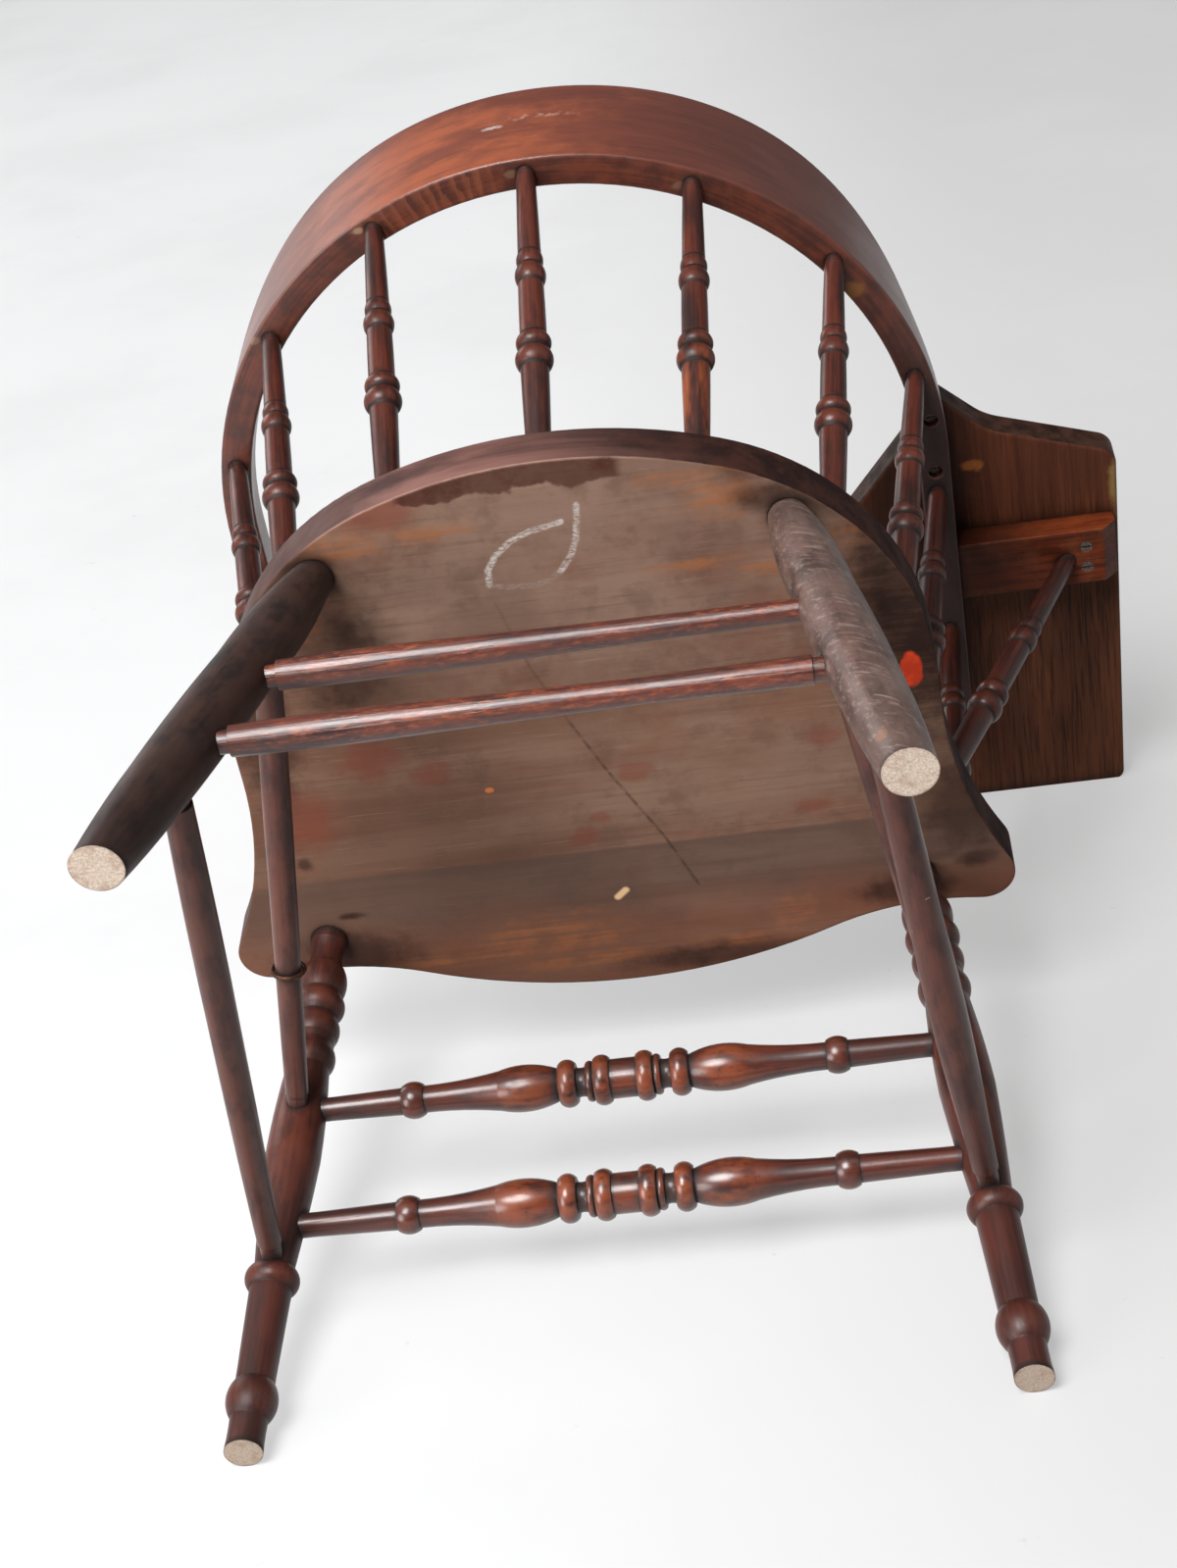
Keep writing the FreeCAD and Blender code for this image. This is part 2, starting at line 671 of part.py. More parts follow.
def seat_outline():
    back = size("seat_back_reach")
    long_radius = size("seat_back_radius")
    shoulder = size("seat_shoulder_radius")
    half = size("seat_half_width")
    long_centre = (0, back - long_radius)
    shoulder_x = half - shoulder
    shoulder_y = long_centre[1] + math.sqrt((long_radius - shoulder) ** 2 - shoulder_x ** 2)
    meet_angle = bearing(long_centre, (shoulder_x, shoulder_y))
    meet = polar(long_centre, long_radius, meet_angle)
    # the flare touches the straight side and the ear, and the front hollow touches the ear and the bow
    flare = size("seat_waist_radius")
    flare_centre = (half + flare, -size("seat_waist_start"))
    ear = size("seat_ear_radius")
    ear_x = size("seat_ear_half_width") - ear
    ear_y = flare_centre[1] - math.sqrt((flare + ear) ** 2 - (flare_centre[0] - ear_x) ** 2)
    ear_centre = (ear_x, ear_y)
    bow = size("seat_front_radius")
    bow_centre = (0, bow - size("seat_front_reach"))
    hollow = size("seat_front_hollow_radius")
    hollow_centre = touching(bow_centre, bow + hollow, ear_centre, ear + hollow)
    ear_start = bearing(ear_centre, flare_centre)
    ear_end = bearing(ear_centre, hollow_centre)
    bow_end = bearing(bow_centre, hollow_centre)
    right_side = [
        round_arc((shoulder_x, shoulder_y), shoulder, meet_angle, 0),
        line((half, shoulder_y), (half, flare_centre[1])),
        round_arc(flare_centre, flare, HALF_TURN, HALF_TURN + ear_start),
        round_arc(ear_centre, ear, ear_start, ear_end),
        round_arc(hollow_centre, hollow, ear_end + HALF_TURN, bow_end + HALF_TURN),
    ]
    other_side = [mirrored(curve) for curve in reversed(right_side)]
    back_arc = arc((-meet[0], meet[1]), (0, back), meet)
    front_end = polar(bow_centre, bow, bow_end)
    front_arc = arc(front_end, (0, -size("seat_front_reach")), (-front_end[0], front_end[1]))
    return [back_arc] + right_side + [front_arc] + other_side


def touching(first_centre, first_reach, second_centre, second_reach):
    """Point at given distances from two centres, on the right of the way from the first to the second."""
    apart = math.hypot(second_centre[0] - first_centre[0], second_centre[1] - first_centre[1])
    along = (first_reach ** 2 - second_reach ** 2 + apart ** 2) / (2 * apart)
    aside = math.sqrt(first_reach ** 2 - along ** 2)
    way = bearing(first_centre, second_centre)
    return polar(polar(first_centre, along, way), aside, way - 90)


def mirrored(curve):
    """The same curve on the other side of the middle line, run the other way."""
    start, end = curve.StartPoint, curve.EndPoint
    if isinstance(curve, Part.LineSegment):
        return line((-end.x, end.y), (-start.x, start.y))
    middle = curve.value((curve.FirstParameter + curve.LastParameter) / 2)
    return arc((-end.x, end.y), (-middle.x, middle.y), (-start.x, start.y))


def scoop(body, name, centre_x, centre_y, width, length, depth):
    """Shallow bowl cut from the seat's top: part of an ellipsoid whose middle is above the seat."""
    # the ellipsoid is so deep that the cut is its lowest eighth
    bowl_share = 1 / 8
    vertical = size(depth) / bowl_share
    flat_share = math.sqrt(1 - (1 - bowl_share) ** 2)
    cutter = body.newObject("PartDesign::SubtractiveEllipsoid", name)
    cutter.Radius1 = vertical
    cutter.Radius2 = size(width) / 2 / flat_share
    cutter.Radius3 = size(length) / 2 / flat_share
    centre = Vector(centre_x, centre_y, size("seat_thickness") + vertical - size(depth))
    cutter.Placement = Placement(centre, Rotation())
    return cutter


def make_seat():
    body = new_body("seat", upright(Vector(0, 0, size("seat_height"))))
    sketch = sketch_on(body, "XY_Plane", "seat_outline")
    sketch.addGeometry(seat_outline(), False)
    plank = body.newObject("PartDesign::Pad", "seat_plank")
    plank.Profile = sketch
    plank.setExpression("Length", "sizes.seat_thickness")
    doc.recompute()
    top_edges = edges_at(plank.Shape, size("seat_thickness"), size("joint_clearance"))
    round_edges(body, "seat_top_round", plank, top_edges, "sizes.seat_edge_round")
    scoop(body, "saddle", 0, size("saddle_middle"), "saddle_width", "saddle_length", "saddle_depth")
    for side, name in SIDE_NAMES.items():
        scoop(body, f"thigh_hollow_{name}", side * size("thigh_offset"), -size("thigh_middle"),
              "thigh_width", "thigh_length", "thigh_depth")
    for end in ("back", "front"):
        for side, name in SIDE_NAMES.items():
            foot, top = leg_line(end, side)
            bore(body, f"{end}_leg_{name}_socket", top, foot - top,
                 "sizes.leg_tenon_radius + sizes.joint_clearance", "sizes.leg_socket_depth")
    lines = spindle_lines()
    lines["tablet_brace"] = brace_line()
    for label, (foot, top) in lines.items():
        bore(body, label + "_socket", foot, top - foot,
             "sizes.spindle_foot_radius + sizes.joint_clearance", "sizes.spindle_foot_depth")
    return body


# Bent rail

def rail_outline():
    """Plan of the rail: a half ring with straight arms that run forward to rounded ends."""
    outer = size("rail_outer_radius")
    inner = size("rail_inner_radius")
    end_radius = (outer - inner) / 2
    tip = -size("arm_front_reach") + end_radius
    left_tip = (arm_middle(), tip)
    right_tip = (-arm_middle(), tip)
    return [
        line((outer, tip), (outer, 0)),
        round_arc((0, 0), outer, 0, HALF_TURN),
        line((-outer, 0), (-outer, tip)),
        round_arc(right_tip, end_radius, HALF_TURN, 2 * HALF_TURN),
        line((-inner, tip), (-inner, 0)),
        round_arc((0, 0), inner, HALF_TURN, 0),
        line((inner, 0), (inner, tip)),
        round_arc(left_tip, end_radius, HALF_TURN, 2 * HALF_TURN),
    ]


def rise_outline():
    """What lies above the rail's top, seen from the side: level arms, then a long curve up to the crest."""
    level = size("arm_thickness")
    crest = size("crest_height")
    rise_start = (size("rise_start_reach"), level)
    turn = (size("rise_turn_reach"), size("rise_turn_height"))
    back = (size("rail_outer_radius"), crest)
    front = -size("arm_front_reach") - size("cut_overrun")
    above = crest + size("cut_overrun")
    hollow, heading = leaving(rise_start, 0, turn)
    bow, heading = leaving(turn, heading, back)
    beyond = polar(back, size("cut_overrun"), heading)
    return [
        line((front, level), rise_start),
        hollow,
        bow,
        line(back, beyond),
        line(beyond, (beyond[0], above)),
        line((beyond[0], above), (front, above)),
        line((front, above), (front, level)),
    ]


def make_rail():
    body = new_body("arm_and_back_rail", upright(Vector(0, 0, size("rail_height"))))
    sketch = sketch_on(body, "XY_Plane", "rail_plan")
    sketch.addGeometry(rail_outline(), False)
    blank = body.newObject("PartDesign::Pad", "rail_blank")
    blank.Profile = sketch
    blank.setExpression("Length", "sizes.crest_height + sizes.rail_top_round")
    doc.recompute()
    profile = sketch_on(body, "YZ_Plane", "rail_rise")
    profile.addGeometry(rise_outline(), False)
    sawn = body.newObject("PartDesign::Pocket", "rail_top_cut")
    sawn.Profile = profile
    sawn.Type = "ThroughAll"
    sawn.Midplane = True
    doc.recompute()
    if sawn.Shape.Volume >= blank.Shape.Volume:
        raise ValueError("the rail's top was not cut")
    rounded = round_edges(body, "rail_top_round", sawn, rail_top_edges(sawn.Shape), "sizes.rail_top_round")
    bottom = edges_at(rounded.Shape, 0, size("joint_clearance"))
    round_edges(body, "rail_bottom_round", rounded, bottom, "sizes.rail_bottom_round")
    for label, (foot, top) in spindle_lines().items():
        bore(body, label + "_socket", top, foot - top,
             "sizes.spindle_top_radius + sizes.joint_clearance", "sizes.spindle_top_depth")
    for head in arm_screw_points():
        mouth = Vector(head.x, head.y, size("rail_height"))
        bore(body, "arm_screw_counterbore", mouth, Vector(0, 0, -1),
             "sizes.arm_counterbore_radius", "sizes.arm_counterbore_depth")
        countersink(body, "arm_screw", head, "sizes.arm_thickness")
    return body


def rail_top_edges(shape):
    """Names of the rail's long upper edges, without upright edges, the underside and lines across it."""
    nothing = size("joint_clearance")
    thickness = size("rail_outer_radius") - size("rail_inner_radius")
    underside = edges_at(shape, 0, nothing)
    names = []
    for number, edge in enumerate(shape.Edges, start=1):
        box = edge.BoundBox
        is_upright = box.XLength < nothing and box.YLength < nothing
        is_across = box.YLength < nothing and box.XLength < 2 * thickness
        if f"Edge{number}" not in underside and not is_upright and not is_across:
            names.append(f"Edge{number}")
    return names


def countersink(body, name, head, depth):
    """Hole for a screw whose head is at the given point, pointing up."""
    bore(body, name + "_hole", head, Vector(0, 0, -1),
         "sizes.screw_shank_radius + sizes.joint_clearance", depth)
    sink = body.newObject("PartDesign::SubtractiveCone", name + "_sink")
    sink.setExpression("Radius1", "sizes.screw_head_radius + sizes.joint_clearance")
    sink.setExpression("Radius2", "sizes.screw_shank_radius + sizes.joint_clearance")
    sink.setExpression("Height", "sizes.screw_head_height")
    sink.Placement = body.Placement.inverse() * upright(head)
    return sink


# Writing tablet, batten and brace

def tablet_bottom():
    return size("rail_height") + size("arm_thickness") + size("seat_gap")


def batten_bottom():
    return tablet_bottom() - size("seat_gap") - size("batten_thickness")


def tablet_outline():
    """Outline of the writing tablet, from the tip of its tail on the arm round by the outer side."""
    outer = -size("tablet_outer_reach")
    front = -size("tablet_front_reach")
    inner = -size("tablet_inner_reach")
    return rounded_outline((
        ((-size("tablet_tail_half"), size("tablet_tail_reach")), size("tablet_tail_radius")),
        ((-size("tablet_neck_half"), -size("tablet_neck_reach")), size("tablet_neck_radius")),
        ((outer, -size("tablet_back_reach")), size("tablet_back_corner_radius")),
        ((outer + size("tablet_taper"), front), size("tablet_front_corner_radius")),
        ((inner, front), size("tablet_inner_corner_radius")),
        ((inner, -size("tablet_inner_turn_reach")), size("tablet_inner_turn_radius")),
        ((-size("tablet_throat_half"), -size("tablet_throat_reach")), size("tablet_throat_radius")),
    ))


def make_tablet():
    body = new_body("writing_tablet", upright(Vector(0, 0, tablet_bottom())))
    sketch = sketch_on(body, "XY_Plane", "tablet_outline")
    sketch.addGeometry(tablet_outline(), False)
    board = body.newObject("PartDesign::Pad", "tablet_board")
    board.Profile = sketch
    board.setExpression("Length", "sizes.tablet_thickness")
    doc.recompute()
    tolerance = size("joint_clearance")
    rims = edges_at(board.Shape, 0, tolerance) + edges_at(board.Shape, size("tablet_thickness"), tolerance)
    round_edges(body, "tablet_edge_round", board, rims, "sizes.tablet_edge_round")
    for point, length_name in fastener_points():
        down = Vector(0, 0, -1)
        tip = point.z + size(length_name)
        depth = tip + size("socket_end_clearance") - tablet_bottom()
        cutter = body.newObject("PartDesign::SubtractiveCylinder", "screw_pilot")
        cutter.setExpression("Radius", "sizes.screw_shank_radius + sizes.joint_clearance")
        cutter.Height = depth + size("cut_overrun")
        start = Vector(point.x, point.y, tablet_bottom() + depth)
        cutter.Placement = body.Placement.inverse() * placed(start, down)
    return body


def make_batten():
    inner_end = -size("rail_outer_radius") - size("batten_arm_gap")
    outer_end = -size("tablet_outer_reach") + size("batten_end_gap")
    corner = Vector(outer_end, -size("batten_back_reach") - size("batten_width"), batten_bottom())
    body = new_body("tablet_batten", upright(corner))
    strip = body.newObject("PartDesign::AdditiveBox", "batten_strip")
    strip.Length = inner_end - outer_end
    strip.setExpression("Width", "sizes.batten_width")
    strip.setExpression("Height", "sizes.batten_thickness")
    doc.recompute()
    lower_end = []
    for number, edge in enumerate(strip.Shape.Edges, start=1):
        box = edge.BoundBox
        if box.XMax < size("joint_clearance") and box.ZMax < size("joint_clearance"):
            lower_end.append(f"Edge{number}")
    chamfer = body.newObject("PartDesign::Chamfer", "batten_end_chamfer")
    chamfer.Base = (strip, lower_end)
    chamfer.setExpression("Size", "sizes.batten_chamfer")
    doc.recompute()
    foot, top = brace_line()
    bore(body, "brace_socket", top, foot - top, "sizes.spindle_top_radius + sizes.joint_clearance",
         "sizes.brace_top_depth")
    for head in batten_screw_points():
        countersink(body, "batten_screw", head, "sizes.batten_thickness")
    return body


# Fastenings

def arm_screw_points():
    head = size("rail_height") + size("arm_counterbore_depth")
    reaches = (size("rear_arm_screw_reach"), -size("front_arm_screw_reach"))
    return [Vector(-arm_middle(), reach, head) for reach in reaches]


def batten_screw_points():
    middle = -size("batten_back_reach") - size("batten_width") / 2
    half = size("batten_screw_spacing") / 2
    across = size("tablet_outer_reach") - size("batten_screw_inset")
    return [Vector(-across, middle + way * half, batten_bottom()) for way in (1, -1)]


def fastener_points():
    arm = [(point, "screw_length") for point in arm_screw_points()]
    return arm + [(point, "batten_screw_length") for point in batten_screw_points()]


def make_screws(label, points, length_name):
    """Countersunk slotted wood screws that point up, as separate solids of one node."""
    screws = []
    for number, point in enumerate(points, start=1):
        name = f"{label}_{number}"
        head = doc.addObject("Part::Cone", name + "_head")
        head.setExpression("Radius1", "sizes.screw_head_radius")
        head.setExpression("Radius2", "sizes.screw_shank_radius")
        head.setExpression("Height", "sizes.screw_head_height")
        shank = doc.addObject("Part::Cylinder", name + "_shank")
        shank.setExpression("Radius", "sizes.screw_shank_radius")
        shank.setExpression("Height", f"sizes.{length_name}")
        whole = doc.addObject("Part::Fuse", name + "_whole")
        whole.Base = head
        whole.Tool = shank
        slot = doc.addObject("Part::Box", name + "_slot")
        slot.setExpression("Length", "3 * sizes.screw_head_radius")
        slot.setExpression("Width", "sizes.screw_slot_width")
        slot.setExpression("Height", "sizes.screw_slot_width")
        slot.Placement.Base = Vector(-1.5 * size("screw_head_radius"), -size("screw_slot_width") / 2, 0)
        slotted = doc.addObject("Part::Cut", name)
        slotted.Base = whole
        slotted.Tool = slot
        slotted.Placement = upright(point)
        screws.append(slotted)
    group = doc.addObject("Part::Compound", label)
    group.Links = screws
    return group


def make_wire_loop():
    """A loose ring of wire round the left upper side stretcher, a little larger than the wood."""
    entry = [entry for entry in STRETCHERS if entry[0] == "side_stretcher_left_upper"][0]
    start, stop = stretcher_line(entry)
    ring = doc.addObject("Part::Torus", "wire_loop")
    ring.setExpression("Radius1", "sizes.loop_radius")
    ring.setExpression("Radius2", "sizes.loop_wire_radius")
    ring.Placement = placed(start + (stop - start) * LOOP_PLACE_SHARE, stop - start)
    return ring


def build_chair():
    pieces = [make_seat(), make_rail(), make_tablet(), make_batten()]
    for end in ("back", "front"):
        for side in SIDE_NAMES:
            pieces.append(make_leg(end, side))
    pieces += [make_stretcher(entry) for entry in STRETCHERS]
    for label, (foot, top) in spindle_lines().items():
        pieces.append(make_spindle(label, foot, top, size("spindle_top_depth")))
    foot, top = brace_line()
    pieces.append(make_spindle("tablet_brace", foot, top, size("brace_top_depth")))
    pieces.append(make_screws("arm_screws", arm_screw_points(), "screw_length"))
    pieces.append(make_screws("batten_screws", batten_screw_points(), "batten_screw_length"))
    pieces.append(make_wire_loop())
    return pieces


pieces = build_chair()
doc.recompute()

for item in doc.Objects:
    if "Invalid" in item.State or "Error" in item.State:
        raise ValueError(f"{item.Label} was not made: {item.State}")

os.makedirs("parts", exist_ok=True)
for piece in pieces:
    shape = piece.Shape
    if shape.isNull() or not shape.isValid() or not shape.Solids:
        raise ValueError(f"{piece.Label} is not a sound solid")
    shape.exportStep(f"parts/{piece.Label}.step")
    print(f"{piece.Label}: {len(shape.Solids)} solid(s), {shape.Volume / 1000:.1f} cm3")
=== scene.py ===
import math

import bpy
import numpy as np
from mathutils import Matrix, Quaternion, Vector


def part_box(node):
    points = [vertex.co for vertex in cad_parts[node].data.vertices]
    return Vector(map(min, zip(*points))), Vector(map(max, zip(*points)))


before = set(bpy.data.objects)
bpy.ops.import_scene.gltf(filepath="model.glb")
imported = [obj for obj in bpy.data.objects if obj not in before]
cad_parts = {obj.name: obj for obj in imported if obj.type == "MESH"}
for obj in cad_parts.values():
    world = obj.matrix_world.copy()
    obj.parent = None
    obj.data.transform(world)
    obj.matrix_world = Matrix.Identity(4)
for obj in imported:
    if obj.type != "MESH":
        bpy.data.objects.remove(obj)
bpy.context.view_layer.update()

# The chair's looks, in metres. The chair stands on z = 0 with its front towards -Y. The photograph shows it
# tipped forward onto its front feet and tablet, seen from behind and below, so the camera here is below the
# floor, and the photograph's floor is a slanting plane in front of the chair.


# Places on the chair, worked out from the frame

seat_low, seat_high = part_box("seat")
rail_low, rail_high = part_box("arm_and_back_rail")
tablet_low, tablet_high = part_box("writing_tablet")
RAIL_OUTER_RADIUS = (rail_high.x - rail_low.x) / 2
# the point on the floor that the chair's own measurements start from
CHAIR_MIDDLE = Vector(((seat_low.x + seat_high.x) / 2, rail_high.y - RAIL_OUTER_RADIUS, 0))


def on_chair(x, y, z):
    """Row coordinates of a place measured from the middle of the chair."""
    return CHAIR_MIDDLE + Vector((x, y, z))


def under_seat(x, y):
    return on_chair(x, y, seat_low.z)


# Nodes of a material

COAT_ROUGHNESS = 0.20


class Surface:
    """Builds one node material. Each method adds a node and returns its output socket."""

    def __init__(self, name):
        self.material = bpy.data.materials.new(name)
        self.material.use_nodes = True
        self.tree = self.material.node_tree
        self.tree.nodes.clear()
        self.output = self.tree.nodes.new("ShaderNodeOutputMaterial")
        self.place = self.node("TexCoord").outputs["Object"]
        self.normal = None

    def node(self, kind, inputs=(), **settings):
        made = self.tree.nodes.new("ShaderNode" + kind)
        for name, value in settings.items():
            setattr(made, name, value)
        for name, value in dict(inputs).items():
            self.plug(made.inputs[name], value)
        return made

    def plug(self, socket, value):
        """Sets a socket to a value, or links it to another node's output."""
        if isinstance(value, bpy.types.NodeSocket):
            self.tree.links.new(value, socket)
        else:
            socket.default_value = value

    def along(self, centre, turn):
        """Coordinates with their origin at centre, turned so that Z runs along the piece."""
        mapping = self.node("Mapping", {"Vector": self.place}, vector_type="TEXTURE")
        mapping.inputs["Location"].default_value = centre
        mapping.inputs["Rotation"].default_value = turn.to_euler()
        return mapping.outputs[0]

    def scaled(self, place, scale, offset=(0, 0, 0)):
        mapping = self.node("Mapping", {"Vector": place})
        mapping.inputs["Scale"].default_value = scale
        mapping.inputs["Location"].default_value = offset
        return mapping.outputs[0]

    def noise(self, place, scale, detail, roughness, distortion=0.0):
        made = self.node("TexNoise", {"Vector": place, "Scale": scale, "Detail": detail,
                                      "Roughness": roughness, "Distortion": distortion})
        return made.outputs["Fac"]

    def waves(self, place, scale, distortion, detail_scale):
        made = self.node("TexWave", {"Vector": place, "Scale": scale, "Distortion": distortion,
                                     "Detail": 3.0, "Detail Scale": detail_scale, "Detail Roughness": 0.6},
                         wave_type="BANDS", bands_direction="X", wave_profile="SAW")
        return made.outputs["Fac"]

    def math(self, operation, first, second=0.0, clamp=False):
        made = self.node("Math", operation=operation, use_clamp=clamp)
        self.plug(made.inputs[0], first)
        self.plug(made.inputs[1], second)
        return made.outputs[0]

    def times(self, *values):
        product = values[0]
        for value in values[1:]:
            product = self.math("MULTIPLY", product, value)
        return product

    def largest(self, values):
        result = values[0]
        for value in values[1:]:
            result = self.math("MAXIMUM", result, value)
        return result

    def split(self, place):
        return self.node("SeparateXYZ", {"Vector": place}).outputs

    def join(self, x, y, z):
        return self.node("CombineXYZ", {"X": x, "Y": y, "Z": z}).outputs[0]

    def span(self, value, low, high, to_low=0.0, to_high=1.0):
        """Value spread from low..high to to_low..to_high, with a smooth start and end."""
        made = self.node("MapRange", {"Value": value, "From Min": low, "From Max": high,
                                      "To Min": to_low, "To Max": to_high}, interpolation_type="SMOOTHSTEP")
        return made.outputs["Result"]

    def blend(self, share, first, second):
        """The first colour where the share is 0, the second where it is 1."""
        colours = [colour if isinstance(colour, bpy.types.NodeSocket) else (*colour, 1.0)
                   for colour in (first, second)]
        return self.node("MixRGB", {0: share, 1: colours[0], 2: colours[1]}, blend_type="MIX").outputs[0]

    def vector(self, operation, first, second=None, output=0):
        inputs = {0: first} if second is None else {0: first, 1: second}
        return self.node("VectorMath", inputs, operation=operation).outputs[output]

    def patch(self, centre, size, wobble, edge):
        """1 inside an ellipsoid about centre, falling to 0 at its edge, which the wobble makes uneven."""
        offset = self.vector("SUBTRACT", self.place, centre)
        reach = self.vector("LENGTH", self.vector("DIVIDE", offset, size), output="Value")
        uneven = self.math("SUBTRACT", self.noise(self.place, 70.0, 4.0, 0.65), 0.5)
        reach = self.math("ADD", reach, self.times(uneven, wobble))
        return self.span(reach, 1.0 - edge, 1.0 + edge, 1.0, 0.0)

    def stroke(self, start, end, width):
        """1 along a straight mark between two places, 0 beyond its width."""
        way = Vector(end) - Vector(start)
        offset = self.vector("SUBTRACT", self.place, start)
        share = self.vector("DOT_PRODUCT", offset, way / way.length_squared, output="Value")
        held = self.math("ADD", share, 0.0, clamp=True)
        nearest = self.node("VectorMath", {0: way, "Scale": held}, operation="SCALE").outputs[0]
        away = self.vector("DISTANCE", offset, nearest, output="Value")
        return self.span(away, width, width * 0.35)

    def trail(self, places, width):
        return self.largest([self.stroke(start, end, width) for start, end in zip(places, places[1:])])

    def facing(self, axis="Z"):
        """The surface's own direction along one axis, such as 1 where it faces straight up."""
        return self.split(self.node("NewGeometry").outputs["Normal"])[axis]

    def underside(self):
        """1 where the surface faces down."""
        return self.span(self.facing(), -0.5, -0.9)

    def sides(self, low):
        """1 on the faces between an underside and a top. They start where the direction passes low."""
        return self.times(self.span(self.facing(), low, -0.50), self.span(self.facing(), 0.80, 0.40))

    def sum(self, first, first_share, second, second_share):
        return self.math("ADD", self.times(first, first_share), self.times(second, second_share))

    def ragged(self, value, noise, depth):
        """The value moved to and fro by up to half the depth, for a border that isn't straight."""
        return self.math("ADD", value, self.times(self.math("SUBTRACT", noise, 0.5), depth))

    def near_edge(self, radius):
        """The rounded direction near edges, and a mask that is 1 there and 0 on flat faces."""
        rounded = self.node("Bevel", {"Radius": radius}, samples=4).outputs[0]
        true_normal = self.node("NewGeometry").outputs["Normal"]
        agreement = self.vector("DOT_PRODUCT", rounded, true_normal, output="Value")
        return rounded, self.span(agreement, 0.97, 0.80)

    def edge_wear(self, radius):
        """1 on worn edges, 0 on flat faces. The edges also look a little rounded from here on."""
        self.normal, worn = self.near_edge(radius)
        return worn

    def crevice(self, distance, open_share=0.90, deep_share=0.45):
        """1 deep in grooves and joints, 0 in the open, from ambient occlusion. It marks grime and painted
        shade.
        """
        made = self.node("AmbientOcclusion", {"Distance": distance}, samples=4, only_local=False)
        return self.span(made.outputs["AO"], open_share, deep_share)

    def bumps(self, *layers):
        """Bumps, each a height, a strength and a depth in metres."""
        for height, strength, depth in layers:
            inputs = {"Height": height, "Strength": strength, "Distance": depth}
            if self.normal is not None:
                inputs["Normal"] = self.normal
            self.normal = self.node("Bump", inputs).outputs[0]

    def finish(self, colour, roughness, specular=0.5, metallic=0.0, coat=0.0):
        shader = self.node("BsdfPrincipled", {
            "Base Color": colour, "Roughness": roughness, "Normal": self.normal, "Metallic": metallic,
            "Specular IOR Level": specular, "Coat Weight": coat, "Coat Roughness": COAT_ROUGHNESS})
        self.tree.links.new(shader.outputs[0], self.output.inputs["Surface"])
        return self.material


def run_of(piece):
    """Centre of a long piece, the turn that takes Z to its length, its fullest radius, and its two ends."""
    points = np.array([vertex.co for vertex in piece.data.vertices])
    centre = points.mean(0)
    offset = points - centre
    values, vectors = np.linalg.eigh(np.cov(offset.T))
    axis = vectors[:, int(np.argmax(values))]
    if axis[2] < 0:
        axis = -axis
    along = offset @ axis
    away = offset - np.outer(along, axis)
    radius = float(np.sqrt((away ** 2).sum(1)).max())
    turn = Vector((0, 0, 1)).rotation_difference(Vector(axis))
    return Vector(centre), turn, radius, float(along.min()), float(along.max())


def dress(node, material):
    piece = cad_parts[node]
    piece.data.materials.clear()
    piece.data.materials.append(material)


# Colours, as linear light

# the dark of grooves and joints: grime, with painted shade
GRIME_AND_SHADE = (0.008, 0.004, 0.003)
WORN_WOOD = (0.330, 0.140, 0.060)
SCRATCHED_WOOD = (0.33, 0.25, 0.21)
DUST = (0.155, 0.102, 0.086)
OLD_GLUE = (0.480, 0.330, 0.200)
CHALK = (0.62, 0.56, 0.52)
PAINT = ((0.730, 0.070, 0.022), (0.480, 0.040, 0.014))
BARE_WOOD = (0.850, 0.560, 0.300)

# The stain of the turned pieces: in the dark grain, in the rest, and on the high places that are rubbed
FRONT_LEG_TONES = ((0.026, 0.008, 0.006), (0.070, 0.018, 0.012), (0.120, 0.030, 0.016))
DUSTY_LEG_TONES = ((0.030, 0.014, 0.011), (0.096, 0.052, 0.041), (0.112, 0.060, 0.046))
BLACK_LEG_TONES = ((0.006, 0.003, 0.002), (0.024, 0.010, 0.008), (0.040, 0.017, 0.012))
SPINDLE_TONES = ((0.016, 0.005, 0.004), (0.095, 0.021, 0.012), (0.160, 0.036, 0.016))
FRONT_STRETCHER_TONES = ((0.030, 0.008, 0.006), (0.105, 0.022, 0.012), (0.270, 0.062, 0.020))
REAR_STRETCHER_TONES = ((0.026, 0.007, 0.005), (0.095, 0.019, 0.010), (0.160, 0.032, 0.013))
SIDE_STRETCHER_TONES = ((0.034, 0.011, 0.009), (0.090, 0.028, 0.019), (0.130, 0.042, 0.026))

# The pale sole goes this far up a foot
SOLE_DEPTH = 0.0015


